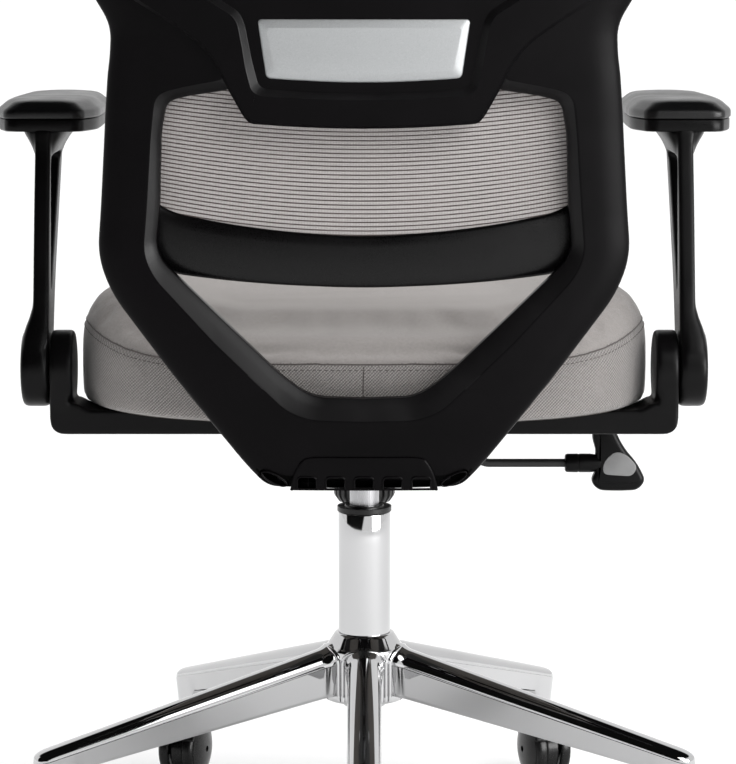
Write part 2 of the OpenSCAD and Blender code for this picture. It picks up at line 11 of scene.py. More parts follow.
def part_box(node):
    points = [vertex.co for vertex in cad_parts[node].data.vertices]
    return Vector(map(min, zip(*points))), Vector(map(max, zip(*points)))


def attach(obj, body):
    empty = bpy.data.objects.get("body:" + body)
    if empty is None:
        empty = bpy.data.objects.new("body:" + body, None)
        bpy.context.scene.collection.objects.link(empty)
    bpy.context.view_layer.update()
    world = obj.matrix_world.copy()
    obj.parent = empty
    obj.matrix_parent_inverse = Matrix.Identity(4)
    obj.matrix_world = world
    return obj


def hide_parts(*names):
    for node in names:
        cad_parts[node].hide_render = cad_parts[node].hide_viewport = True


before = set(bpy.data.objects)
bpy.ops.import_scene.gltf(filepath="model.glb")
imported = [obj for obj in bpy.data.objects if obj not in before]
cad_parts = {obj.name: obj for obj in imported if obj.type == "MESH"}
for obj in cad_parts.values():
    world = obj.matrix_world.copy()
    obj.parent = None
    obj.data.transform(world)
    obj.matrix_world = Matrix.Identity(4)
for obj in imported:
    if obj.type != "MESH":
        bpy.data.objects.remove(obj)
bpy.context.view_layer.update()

MM = 0.001
SIDES = {"left": 1, "right": -1}


# ---------- places taken from the frame, in millimetres ----------
def middle(node):
    """Middle of a CAD node's box, to a tenth of a millimetre."""
    low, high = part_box(node)
    return [round(v / MM, 1) for v in (low + high) / 2]


def highest(node):
    """Highest corner of a CAD node's box, to a tenth of a millimetre."""
    return [round(v / MM, 1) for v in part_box(node)[1]]


# ---------- mesh helpers; outlines and points are in millimetres ----------
def linked(name, data):
    """A new object in the scene."""
    obj = bpy.data.objects.new(name, data)
    bpy.context.scene.collection.objects.link(obj)
    return obj


def rough(name, verts, faces):
    """An object that isn't dressed yet, to be remeshed, cut, joined or dressed."""
    mesh = bpy.data.meshes.new(name)
    mesh.from_pydata([tuple(c * MM for c in v) for v in verts], [], faces)
    bm = bmesh.new()
    bm.from_mesh(mesh)
    bmesh.ops.remove_doubles(bm, verts=bm.verts, dist=0.00001)
    bmesh.ops.recalc_face_normals(bm, faces=bm.faces)
    bm.to_mesh(mesh)
    bm.free()
    return linked(name, mesh)


def shown(name, verts, faces, material, body, slot=None, stands_for=(), sharp=35):
    """A piece made of points and faces, smooth except at edges sharper than the given angle."""
    return dress(rough(name, verts, faces), material, body, slot, stands_for, sharp)


def listed(value):
    """A list of one or of several."""
    return list(value) if isinstance(value, (list, tuple)) else [value]


def dress(obj, material, body, slot=None, stands_for=(), sharp=35):
    """Shading, material, body and replaced nodes of a piece; the slot is not used."""
    shade(obj, sharp)
    obj.data.materials.clear()
    for one in listed(material):
        obj.data.materials.append(one)
    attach(obj, body)
    if stands_for:
        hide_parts(*listed(stands_for))
    return obj


def shade(obj, sharp):
    """Smooth shading except at edges sharper than the given angle."""
    obj.data.polygons.foreach_set("use_smooth", [True] * len(obj.data.polygons))
    obj.data.set_sharp_from_angle(angle=math.radians(sharp))
    obj.data.update()


def applied(obj):
    """Turns the modifiers of an object into its mesh."""
    deps = bpy.context.evaluated_depsgraph_get()
    mesh = bpy.data.meshes.new_from_object(obj.evaluated_get(deps))
    obj.modifiers.clear()
    obj.data = mesh
    return obj


def coordinates(mesh, kind="co"):
    """Places or normals of the vertices, one row each."""
    out = np.empty(len(mesh.vertices) * 3)
    mesh.vertices.foreach_get(kind, out)
    return out.reshape(-1, 3)


def fineness(full):
    return full


def merged(objs, name):
    """One object with the faces of several, which are removed."""
    bm = bmesh.new()
    for o in objs:
        bm.from_mesh(o.data)
        bpy.data.objects.remove(o)
    mesh = bpy.data.meshes.new(name)
    bm.to_mesh(mesh)
    bm.free()
    return linked(name, mesh)


def fused(objs, name, voxel, smooth):
    """Overlapping closed solids fused to one skin with small fillets, as in a moulding."""
    obj = merged(objs, name)
    remesh = obj.modifiers.new("fuse", "REMESH")
    remesh.mode = "VOXEL"
    remesh.voxel_size = voxel * MM
    soften = obj.modifiers.new("soften", "SMOOTH")
    soften.factor = 0.5
    soften.iterations = smooth
    return applied(obj)


def cut(obj, cutter):
    """Takes the cutter's solid out of the object."""
    boolean = obj.modifiers.new("cut", "BOOLEAN")
    boolean.operation = "DIFFERENCE"
    boolean.solver = "EXACT"
    boolean.object = cutter
    applied(obj)
    bpy.data.objects.remove(cutter)
    return obj


def bands(rows, closed_rows=True, closed_along=False, cap_start=False, cap_end=False, base=0):
    """Faces between rows of points, all of the same length."""
    count = len(rows[0])
    steps = len(rows)
    faces = []
    for i in range(steps if closed_along else steps - 1):
        a = base + i * count
        b = base + (i + 1) % steps * count
        for j in range(count if closed_rows else count - 1):
            k = (j + 1) % count
            faces.append((a + j, a + k, b + k, b + j))
    if cap_start:
        faces.append(tuple(base + j for j in range(count)))
    if cap_end:
        faces.append(tuple(base + (steps - 1) * count + j for j in reversed(range(count))))
    return [p for row in rows for p in row], faces


def solid(rings):
    """A closed solid through rings of points, with end faces."""
    return bands(rings, True, False, True, True)


def turned(profile, place, turns, start=0.0, stop=360.0):
    """A closed profile of (radius, height) turned about an axis; less than a full turn gets end faces."""
    full = abs(stop - start - 360) < 1e-6
    rows = []
    for i in range(turns if full else turns + 1):
        a = math.radians(start + (stop - start) * i / turns)
        rows.append([place(r * math.cos(a), r * math.sin(a), h) for r, h in profile])
    return bands(rows, True, full, not full, not full)


def lathe(profile, turns=64):
    """A profile turned about Z."""
    return turned(profile, in_plan, turns)


def placed(verts, matrix):
    """Points moved by a matrix."""
    return [tuple(matrix @ Vector(v)) for v in verts]


def bend(a, p, b, steps):
    """Points of the curve from a to b that is drawn towards the corner p."""
    ts = [s / steps for s in range(steps + 1)]
    return [a * (1 - t) ** 2 + p * 2 * t * (1 - t) + b * t * t for t in ts]


def rounded(corners, steps=5, closed=True):
    """An outline from corners (x, y, radius), each rounded by a curve with that reach."""
    out = []
    n = len(corners)
    for i, (x, y, r) in enumerate(corners):
        p = Vector((x, y))
        if r <= 0 or (not closed and i in (0, n - 1)):
            out.append((x, y))
            continue
        before = Vector(corners[i - 1][:2]) - p
        after = Vector(corners[(i + 1) % n][:2]) - p
        reach = min(r, before.length * 0.49, after.length * 0.49)
        curve = bend(p + before.normalized() * reach, p, p + after.normalized() * reach, steps)
        out += [(q.x, q.y) for q in curve]
    return out


def chain(keys, arc=6, run=4):
    """An open line through keys (x, y, radius), with as many points for any keys of that count."""
    n = len(keys)
    corners = []
    for i, (x, y, r) in enumerate(keys):
        p = Vector((x, y))
        if i in (0, n - 1):
            corners.append([p])
            continue
        before = Vector(keys[i - 1][:2]) - p
        after = Vector(keys[i + 1][:2]) - p
        reach = max(min(r, before.length * 0.49, after.length * 0.49), 0.01)
        corners.append(bend(p + before.normalized() * reach, p, p + after.normalized() * reach, arc))
    out = list(corners[0])
    for prev, here in zip(corners, corners[1:]):
        for s in range(1, run):
            out.append(prev[-1].lerp(here[0], s / run))
        out.extend(here)
    return [(q.x, q.y) for q in out]


def inset(line, d, closed=False):
    """The line moved sideways by d, to the left of its direction."""
    pts = np.array(line, float)
    if closed:
        ahead, behind = np.roll(pts, -1, 0), np.roll(pts, 1, 0)
    else:
        ahead = np.vstack([pts[1:], pts[-1:]])
        behind = np.vstack([pts[:1], pts[:-1]])
    way = ahead - behind
    way /= np.maximum(np.linalg.norm(way, axis=1, keepdims=True), 1e-9)
    return [tuple(p) for p in pts + d * np.stack([-way[:, 1], way[:, 0]], 1)]


def mirror_x(verts, faces):
    """The same shape on both sides of the middle."""
    n = len(verts)
    both = list(verts) + [(-x, y, z) for x, y, z in verts]
    return both, list(faces) + [tuple(n + i for i in reversed(f)) for f in faces]


def arched(line, reach):
    """The line with its first run, as far as x = reach, bent to a parabola that is level in the middle."""
    n = next(i for i, (x, z) in enumerate(line) if x >= reach)
    z0, (x1, z1) = line[0][1], line[n]
    return [(x, z0 + (z1 - z0) * (x / x1) ** 2) for x, _ in line[:n]] + line[n:]


def part_way(a_line, b_line, share):
    """The line that share of the way from one line to another, point by point."""
    return [(a[0] + (b[0] - a[0]) * share, a[1] + (b[1] - a[1]) * share) for a, b in zip(a_line, b_line)]


def smooth_step(t):
    """Rises from 0 to 1 with level ends."""
    t = min(max(t, 0.0), 1.0)
    return t * t * (3 - 2 * t)


# ---------- solids from outlines ----------
def anticlockwise(outline):
    area = sum(a[0] * b[1] - b[0] * a[1] for a, b in zip(outline, outline[1:] + outline[:1]))
    return outline if area > 0 else outline[::-1]


def prism(outline, low, high, r, place, steps=4):
    """A closed outline carried from low to high, with both rims rounded by r."""
    outline = anticlockwise(outline)
    quarter = [math.radians(90 * s / steps) for s in range(steps + 1)]
    rows = [(r * (1 - math.sin(a)), low + r * (1 - math.cos(a))) for a in quarter]
    rows += [(r * (1 - math.cos(a)), high - r * (1 - math.sin(a))) for a in quarter]
    lines = [[place(p, q, t) for p, q in inset(outline, d, True)] for d, t in rows]
    return solid(lines)


def in_front(x, z, y):
    """An outline of the front view, carried along Y."""
    return x, y, z


def in_side(y, z, x):
    """An outline of the side view, carried along X."""
    return x, y, z


def in_plan(x, y, z):
    """An outline of the plan view, carried along Z."""
    return x, y, z


def oval(cx, cy, hx, hy, power, count=40):
    """A rounded rectangle about (cx, cy): an ellipse for power 2, squarer above."""
    out = []
    for i in range(count):
        a = 2 * math.pi * (i + 0.5) / count
        c, s = math.cos(a), math.sin(a)
        out.append((cx + hx * math.copysign(abs(c) ** (2 / power), c),
                    cy + hy * math.copysign(abs(s) ** (2 / power), s)))
    return out


def tube(path, r, sides=6, closed=False):
    """A round thread along points."""
    pts = [Vector(p) for p in path]
    rows = []
    n = len(pts)
    for i, p in enumerate(pts):
        way = pts[(i + 1) % n] - pts[i - 1] if closed else pts[min(i + 1, n - 1)] - pts[max(i - 1, 0)]
        way.normalize()
        side = way.orthogonal() if abs(way.z) > 0.95 else way.cross(Vector((0, 0, 1)))
        side.normalize()
        up = side.cross(way)
        rows.append([tuple(p + r * (math.cos(a) * side + math.sin(a) * up))
                     for a in [2 * math.pi * s / sides for s in range(sides)]])
    return bands(rows, True, closed, not closed, not closed)


def joined(solids):
    """Points and faces of several solids as one."""
    verts, faces = [], []
    for v, f in solids:
        n = len(verts)
        verts += v
        faces += [tuple(n + i for i in face) for face in f]
    return verts, faces


# ---------- material helpers ----------
def new_material(name, colour, roughness, **settings):
    m = bpy.data.materials.new(name)
    m.use_nodes = True
    shader = m.node_tree.nodes["Principled BSDF"]
    shader.inputs["Base Color"].default_value = (*colour, 1)
    shader.inputs["Roughness"].default_value = roughness
    for key, value in settings.items():
        shader.inputs[key.replace("_", " ")].default_value = value
    return m, m.node_tree, shader


def add(tree, kind, links=None, **settings):
    """A shader node with its settings and its input links: {input: output socket or value}."""
    n = tree.nodes.new(kind)
    for key, value in settings.items():
        setattr(n, key, value)
    for key, source in (links or {}).items():
        socket = n.inputs[key]
        if isinstance(source, bpy.types.NodeSocket):
            tree.links.new(source, socket)
        else:
            socket.default_value = source
    return n


def feed(shader, key, source):
    """Links a socket to an input of the material's shader."""
    shader.id_data.links.new(source, shader.inputs[key])


def coords(tree):
    """The object's own coordinates."""
    return add(tree, "ShaderNodeTexCoord").outputs["Object"]


def maths(tree, operation, a, b=0.0, c=0.0, clamp=False):
    return add(tree, "ShaderNodeMath", {0: a, 1: b, 2: c}, operation=operation, use_clamp=clamp).outputs[0]


def wave(tree, value, k):
    """The sine of k times a value."""
    return maths(tree, "SINE", maths(tree, "MULTIPLY", value, k))


def noise(tree, scale, detail=3.0, vector=None, roughness=0.5):
    links = {"Scale": scale, "Detail": detail, "Roughness": roughness}
    links["Vector"] = vector or coords(tree)
    return add(tree, "ShaderNodeTexNoise", links).outputs["Fac"]


def between(tree, value, low, high, out_low=0.0, out_high=1.0):
    """A value's range stretched to another."""
    links = {"Value": value, "From Min": low, "From Max": high, "To Min": out_low, "To Max": out_high}
    return add(tree, "ShaderNodeMapRange", links).outputs["Result"]


def mixed(tree, factor, a, b):
    n = add(tree, "ShaderNodeMix", data_type="RGBA")
    for socket, value in ((n.inputs[0], factor), (n.inputs[6], a), (n.inputs[7], b)):
        if isinstance(value, bpy.types.NodeSocket):
            tree.links.new(value, socket)
        else:
            socket.default_value = (*value, 1) if isinstance(value, tuple) else value
    return n.outputs[2]


def shade_of(colour, factor):
    """A colour made darker or lighter by a factor."""
    return tuple(c * factor for c in colour)


def bumped(tree, shader, height, distance, strength=1.0):
    links = {"Height": height, "Distance": distance, "Strength": strength}
    feed(shader, "Normal", add(tree, "ShaderNodeBump", links).outputs["Normal"])


# ---------- materials ----------
def moulded(name, colour, roughness, grain=1400.0, depth=0.00006, level=0.3):
    """Moulded plastic with a fine spark-eroded grain and slight unevenness of gloss."""
    m, tree, shader = new_material(name, colour, roughness, Specular_IOR_Level=level)
    fine = noise(tree, grain, 2.0)
    broad = noise(tree, 18.0, 4.0)
    dark, light = shade_of(colour, 0.75), shade_of(colour, 1.35)
    feed(shader, "Base Color", mixed(tree, between(tree, broad, 0.3, 0.7), dark, light))
    gloss = maths(tree, "ADD", between(tree, broad, 0.3, 0.7, -0.04, 0.04), roughness)
    speckle = maths(tree, "ADD", gloss, between(tree, fine, 0.3, 0.7, -0.05, 0.05), clamp=True)
    feed(shader, "Roughness", speckle)
    bumped(tree, shader, fine, depth)
    return m


def chrome_plate():
    """Bright chrome with faint polishing haze."""
    m, tree, shader = new_material("chrome_plate", (0.55, 0.55, 0.555), 0.05, Metallic=1.0)
    haze = noise(tree, 22.0, 5.0)
    feed(shader, "Roughness", between(tree, haze, 0.3, 0.75, 0.025, 0.085))
    tint = between(tree, noise(tree, 6.0, 2.0), 0.3, 0.7)
    feed(shader, "Base Color", mixed(tree, tint, (0.52, 0.52, 0.525), (0.58, 0.58, 0.585)))
    return m


def ground_steel(name="ground_steel", colour=(0.56, 0.56, 0.57), stretch=(60.0, 60.0, 2600.0)):
    """Steel ground round its axis, so that the fine scratches run round it."""
    m, tree, shader = new_material(name, colour, 0.3, Metallic=1.0)
    place = coords(tree)
    scaled = add(tree, "ShaderNodeMapping", {"Vector": place, "Scale": stretch}).outputs["Vector"]
    lines = noise(tree, 1.0, 4.0, scaled)
    feed(shader, "Roughness", between(tree, lines, 0.25, 0.75, 0.2, 0.42))
    dark, light = shade_of(colour, 0.82), shade_of(colour, 1.15)
    feed(shader, "Base Color", mixed(tree, lines, dark, light))
    bumped(tree, shader, lines, 0.00001)
    return m


def satin_silver():
    """Silver lacquer with a fine metallic fleck."""
    m, tree, shader = new_material("satin_silver", (0.37, 0.38, 0.385), 0.42, Metallic=0.55)
    fleck = noise(tree, 2600.0, 2.0)
    cloud = noise(tree, 25.0, 3.0)
    base = mixed(tree, between(tree, fleck, 0.35, 0.65), (0.31, 0.32, 0.325), (0.46, 0.47, 0.475))
    shift = between(tree, cloud, 0.3, 0.7, 0.0, 0.25)
    feed(shader, "Base Color", mixed(tree, shift, base, (0.41, 0.42, 0.425)))
    feed(shader, "Roughness", between(tree, fleck, 0.3, 0.7, 0.36, 0.5))
    bumped(tree, shader, fleck, 0.00003)
    return m


def by_side(tree, pattern):
    """A pattern of two coordinates laid on each of the three planes and joined by the face's direction."""
    both = add(tree, "ShaderNodeTexCoord").outputs
    place = add(tree, "ShaderNodeSeparateXYZ", {"Vector": both["Object"]})
    way = add(tree, "ShaderNodeSeparateXYZ", {"Vector": both["Normal"]})
    x, y, z = (place.outputs[i] for i in range(3))
    wx, wy, wz = (maths(tree, "POWER", maths(tree, "ABSOLUTE", way.outputs[i]), 6.0) for i in range(3))
    total = maths(tree, "ADD", maths(tree, "ADD", wx, wy), wz)
    parts = [(pattern(tree, y, z), wx), (pattern(tree, x, z), wy), (pattern(tree, x, y), wz)]
    value = 0.0
    for height, weight in parts:
        value = maths(tree, "MULTIPLY_ADD", height, weight, value)
    return maths(tree, "DIVIDE", value, total)


def twill(pitch):
    """Diagonal ribs crossed by finer threads."""
    def pattern(tree, u, v):
        k = 2 * math.pi / (pitch * MM)
        rib = wave(tree, maths(tree, "ADD", u, v), k)
        cross = wave(tree, maths(tree, "SUBTRACT", u, v), k)
        both = maths(tree, "MULTIPLY_ADD", cross, 0.45, rib)
        return between(tree, both, -1.45, 1.45)
    return pattern


def plain_weave(pitch):
    """Threads over and under each other in small squares."""
    def pattern(tree, u, v):
        k = 2 * math.pi / (pitch * MM)
        a, b = wave(tree, u, k), wave(tree, v, k)
        return between(tree, maths(tree, "MULTIPLY", a, b), -1.0, 1.0)
    return pattern


def cloth(name, dark, light, weave, depth, roughness=0.9):
    """Woven cloth: thread relief, colour between and on the threads, soft fuzz at grazing angles."""
    m, tree, shader = new_material(name, light, roughness, Specular_IOR_Level=0.15)
    shader.inputs["Sheen Weight"].default_value = 0.25
    shader.inputs["Sheen Roughness"].default_value = 0.5
    threads = by_side(tree, weave)
    slub = noise(tree, 420.0, 3.0)
    height = maths(tree, "MULTIPLY_ADD", slub, 0.5, threads)
    patch = noise(tree, 9.0, 3.0)
    shade_in = mixed(tree, between(tree, height, 0.2, 1.2), dark, light)
    dull = mixed(tree, between(tree, patch, 0.3, 0.7, 0.0, 0.12), shade_in, dark)
    feed(shader, "Base Color", dull)
    bumped(tree, shader, height, depth)
    return m


def knitted_mesh():
    """Warm grey spacer mesh: a fine knit of upright cells."""
    m, tree, shader = new_material("knitted_mesh", (0.45, 0.42, 0.41), 0.8, Specular_IOR_Level=0.2)
    shader.inputs["Sheen Weight"].default_value = 0.2
    place = add(tree, "ShaderNodeSeparateXYZ", {"Vector": coords(tree)})
    k = 2 * math.pi / (1.35 * MM)
    across = wave(tree, place.outputs[0], k)
    up = wave(tree, place.outputs[2], k * 0.9)
    cell = between(tree, maths(tree, "MULTIPLY_ADD", up, 0.5, across), -1.5, 1.5)
    fuzz = noise(tree, 700.0, 2.0)
    level = maths(tree, "MULTIPLY_ADD", fuzz, 0.4, cell)
    colour = mixed(tree, between(tree, level, 0.2, 1.0), (0.33, 0.307, 0.3), (0.59, 0.56, 0.548))
    feed(shader, "Base Color", colour)
    bumped(tree, shader, level, 0.00025)
    return m


def soft_skin():
    """Black soft-touch skin with a fine leather grain."""
    m, tree, shader = new_material("soft_skin", (0.0025, 0.0025, 0.0026), 0.32, Specular_IOR_Level=0.3)
    place = coords(tree)
    cells = add(tree, "ShaderNodeTexVoronoi", {"Vector": place, "Scale": 900.0}).outputs["Distance"]
    broad = noise(tree, 30.0, 3.0)
    height = maths(tree, "MULTIPLY_ADD", noise(tree, 500.0, 3.0), 0.6, cells)
    feed(shader, "Roughness", between(tree, broad, 0.3, 0.7, 0.28, 0.38))
    raised = between(tree, height, 0.3, 1.0)
    feed(shader, "Base Color", mixed(tree, raised, (0.0035, 0.0035, 0.0037), (0.0018, 0.0018, 0.002)))
    bumped(tree, shader, height, 0.00012)
    return m


def board():
    """Stained plywood seat board with a faint grain along the seat."""
    m, tree, shader = new_material("stained_board", (0.05, 0.045, 0.04), 0.7)
    place = coords(tree)
    scaled = add(tree, "ShaderNodeMapping", {"Vector": place, "Scale": (220.0, 14.0,
                                                                        220.0)}).outputs["Vector"]
    grain = noise(tree, 1.0, 6.0, scaled)
    feed(shader, "Base Color", mixed(tree, grain, (0.03, 0.026, 0.022), (0.09, 0.08, 0.07)))
    bumped(tree, shader, grain, 0.0001)
    return m


CHROME = chrome_plate()
STEEL = ground_steel()
BRIGHT_STEEL = ground_steel("bright_steel", (0.42, 0.42, 0.43), (900.0, 900.0, 14.0))
FRAME_BLACK = moulded("frame_black", (0.0018, 0.0014, 0.0018), 0.38, 1300.0, 0.00005, 0.06)
# The next black is the frame's black made lighter and glossier, a painted highlight on the window's bevel and
# on the brace's sloping walls.
FRAME_HIGHLIGHT_BLACK = moulded("frame_painted_highlight", (0.006, 0.0056, 0.006), 0.36, 1300.0, 0.00005, 0.16)
# The next black is darker and duller, painted shade inside the foot's recesses.
SLOT_PAINTED_SHADE = moulded("slot_painted_shade", (0.0008, 0.0008, 0.0008), 0.7, 900.0, 0.00003, 0.03)
HOOP_BLACK = moulded("hoop_black", (0.0016, 0.0014, 0.0016), 0.3, 1300.0, 0.00004, 0.2)
ARM_BLACK = moulded("arm_black", (0.0022, 0.002, 0.0022), 0.34, 1500.0, 0.00004, 0.12)
NYLON = moulded("caster_nylon", (0.003, 0.0028, 0.003), 0.3, 900.0, 0.00003, 0.3)
KNOB_BLACK = moulded("knob_black", (0.003, 0.003, 0.003), 0.34, 1200.0, 0.00005, 0.35)
POWDER = moulded("powder_coat", (0.012, 0.012, 0.012), 0.5, 700.0, 0.00012, 0.4)
BADGE = moulded("plain_badge", (0.3, 0.3, 0.3), 0.4, 900.0, 0.00002, 0.4)
SILVER = satin_silver()
SEAT_TOP = cloth("seat_top_cloth", (0.2, 0.185, 0.178), (0.4, 0.375, 0.36), plain_weave(1.1), 0.00012)
# The side panel's twill is its own, but its darker threads also paint the shade on the seat's upright sides.
SEAT_SIDE_SHADED = cloth("seat_side_cloth_shaded", (0.12, 0.112, 0.108), (0.40, 0.376, 0.362), twill(3.0), 0.0005)
THREAD = cloth("seam_thread", (0.07, 0.06, 0.058), (0.13, 0.115, 0.11), plain_weave(0.8), 0.0001)
MESH = knitted_mesh()
RIB = moulded("mesh_yarn", (0.085, 0.068, 0.064), 0.7, 1500.0, 0.00005, 0.15)
SKIN = soft_skin()
BOARD = board()

# ---------- the backrest's curved faces ----------
WRAP_R = 1200.0
# Rear face of the backrest in the middle: (z, y)
REAR = [(360, 228), (400, 236), (440, 243), (480, 247), (540, 250), (620, 252), (700, 256), (780, 262),
        (860, 270), (960, 282), (1060, 298), (1140, 312)]


def rear_y(x, z):
    """Depth of the rear face of the backrest at height z, wrapped about the sitter from side to side."""
    for (z0, y0), (z1, y1) in zip(REAR, REAR[1:]):
        if z <= z1 or z1 == REAR[-1][0]:
            y = y0 + (y1 - y0) * (z - z0) / (z1 - z0)
            break
    return y - WRAP_R + math.sqrt(WRAP_R ** 2 - x * x)


def on_back(row, depth):
    """Points (x, z) of the front view laid on the backrest, each that far in front of its rear face."""
    depths = depth if isinstance(depth, list) else [depth] * len(row)
    return [(x, rear_y(x, z) - d, z) for (x, z), d in zip(row, depths)]


def away_from(line, points):
    """Distance of each point from the line."""
    a = np.array(line[:-1], float)
    b = np.array(line[1:], float)
    ab = b - a
    length = np.maximum((ab * ab).sum(1), 1e-9)
    out = []
    for p in np.array(points, float):
        t = np.clip(((p - a) * ab).sum(1) / length, 0, 1)
        out.append(float(np.sqrt((((a + ab * t[:, None]) - p) ** 2).sum(1).min())))
    return out


FRAME_T = 22.0
SHOULDER_R = 25.0      # how far in the rear face of the frame is rounded from its outer edge
SHOULDER_DROP = 9.0    # how far that rounding falls

# Corners of the frame from its shoulder to the middle of its foot: (x, z, rounding)
FRAME_OUT = [(249, 985, 0), (263, 925, 40), (262, 880, 30), (253, 843, 40), (233, 811, 18), (219.5, 788, 18),
             (221, 762, 5), (223.3, 745, 5), (224.6, 728, 5), (225.6, 716, 5), (227.8, 680, 5),
             (231, 630, 10), (234.5, 586, 45), (222.5, 553, 45), (166, 478, 5), (104, 400, 16),
             (86, 381, 10), (0, 378.6, 0)]
FRAME_BEVEL = [(242, 985, 0), (236, 925, 20), (222, 880, 20), (204, 848, 10), (172, 806, 20), (140, 785, 12),
               (117, 748, 8), (124, 741.4, 3), (158, 735, 8), (181, 729, 16), (185, 694, 10),
               (189.5, 630, 10), (193, 589, 32), (184, 568.5, 32), (131, 511.5, 5), (68, 451, 26),
               (47, 443, 20), (0, 442, 0)]
FRAME_IN = [(240, 985, 0), (232, 925, 20), (218, 880, 20), (200, 846, 10), (166, 801, 20), (136, 779, 12),
            (111, 736, 6), (119, 732.5, 3), (154, 727, 8), (172, 722, 13), (177, 694, 8), (179, 630, 10),
            (182.5, 596, 26), (177, 581.5, 26), (131, 537.5, 5), (70, 479, 26), (46, 462.5, 20), (0, 461, 0)]


def frame_side():
    """One side of the rear frame as rows of points from its outer edge over the rear face into the window."""
    out, bevel, inner = chain(FRAME_OUT), chain(FRAME_BEVEL), chain(FRAME_IN)
    shares = [0, 0.008, 0.025, 0.05, 0.085, 0.13, 0.185, 0.25, 0.33, 0.43, 0.55, 0.7, 0.84, 0.95]
    columns = []

    def drop(points):
        shares_in = [max(1 - d / SHOULDER_R, 0) for d in away_from(out, points)]
        return [SHOULDER_DROP * (1 - math.sqrt(1 - t * t)) for t in shares_in]

    columns.append(on_back(out, FRAME_T))
    columns.append(on_back(out, SHOULDER_DROP + 1.5))
    for share in shares:
        row = part_way(out, bevel, share)
        columns.append(on_back(row, drop(row)))
    soft = drop(bevel)
    before = part_way(bevel, out, 0.012)
    columns.append(on_back(before, drop(before)))
    for share, fall in ((0.0, 0.25), (0.08, 0.85), (0.5, 4.6), (0.93, 8.6), (1.0, 10.2)):
        columns.append(on_back(part_way(bevel, inner, share), [fall + d for d in soft]))
    columns.append(on_back(inner, FRAME_T))
    return [list(r) for r in zip(*columns)]


SLOT_DEEP = 13.0
BEHIND = 270.0         # a depth behind the whole foot


def punch(line, x, z):
    """A cutter with that outline, from behind the foot to the slots' depth at (x, z)."""
    return solid([[(p, y, q) for p, q in line] for y in (rear_y(x, z) - SLOT_DEEP, BEHIND)])


def slot_cutter(x0, z0, x1, z1, half):
    """A cutter with round ends between two points of the front view."""
    a, b = Vector((x0, z0)), Vector((x1, z1))
    along = (b - a).normalized()
    turn = math.atan2(along.y, along.x)
    line = []
    for centre, start in ((b, -90), (a, 90)):
        for s in range(9):
            angle = turn + math.radians(start + 180 * s / 8)
            line.append((centre.x + half * math.cos(angle), centre.y + half * math.sin(angle)))
    return punch(line, x0, z0)


def arch_cutter(x):
    """A cutter for one arched recess of the foot."""
    low, top = 380.7, 391.4
    line = rounded([(x - 8.5, low, 0), (x + 8.5, low, 0), (x + 8.5, top, 4.5), (x - 8.5, top, 4.5)], 6)
    return punch(line, x, 385)


ARCHES = (-50.6, -25.3, 0, 25.3, 50.6)


def face_places(obj):
    """The middle of each face, with both sides of the backrest folded onto one."""
    return [(abs(p.center.x) / MM, p.center.y / MM, p.center.z / MM) for p in obj.data.polygons]


def rear_frame():
    """The black outer frame, with painted shade inside the foot's recesses (a darker, duller black) and a
    painted highlight on the window's bevel (a lighter, glossier black).
    """
    rows = frame_side()
    verts, faces = bands(rows, True, False, True, False)
    obj = rough("rear_frame", *mirror_x(verts, faces))
    cutters = [rough("slot", *arch_cutter(x)) for x in ARCHES]
    cutters += [rough("slot", *slot_cutter(s * 89, 394, s * 70, 384.2, 3.6)) for s in (-1, 1)]
    cut(obj, merged(cutters, "slots"))
    dress(obj, [FRAME_BLACK, FRAME_HIGHLIGHT_BLACK, SLOT_PAINTED_SHADE], "seat", "black_plastic", "back_frame", 32)
    places = face_places(obj)
    to_window = away_from(chain(FRAME_IN), [(x, z) for x, _, z in places])
    to_edge = away_from(chain(FRAME_OUT), [(x, z) for x, _, z in places])
    for p, (x, y, z), near, far in zip(obj.data.polygons, places, to_window, to_edge):
        depth = rear_y(x, z) - y
        in_foot = z < 397 and x < 95
        # painted shade: the walls and floors of the foot's recesses get the darker black
        if in_foot and 1.2 < depth < 14 and far > 0.5:
            p.material_index = 2
        # painted highlight: the window's bevel gets the lighter black
        elif near < 22 and near < far and 0.2 < depth < 10.8:
            p.material_index = 1
    return obj


def tongue():
    """The foot's tongue that runs forward under the seat."""
    line = rounded([(104, 404, 3), (104, 432, 3), (213, 432.6, 1), (222, 440, 2), (222, 452, 2),
                    (236, 452, 3), (232, 396, 8), (224, 384, 8), (190, 398, 14)])
    obj = rough("frame_tongue", *solid([[(x, y, z) for y, z in line] for x in (-77, 77)]))
    edge = obj.modifiers.new("edge", "BEVEL")
    edge.width = 1.5 * MM
    edge.segments = 3
    applied(obj)
    return dress(obj, FRAME_BLACK, "seat", "black_plastic", (), 32)


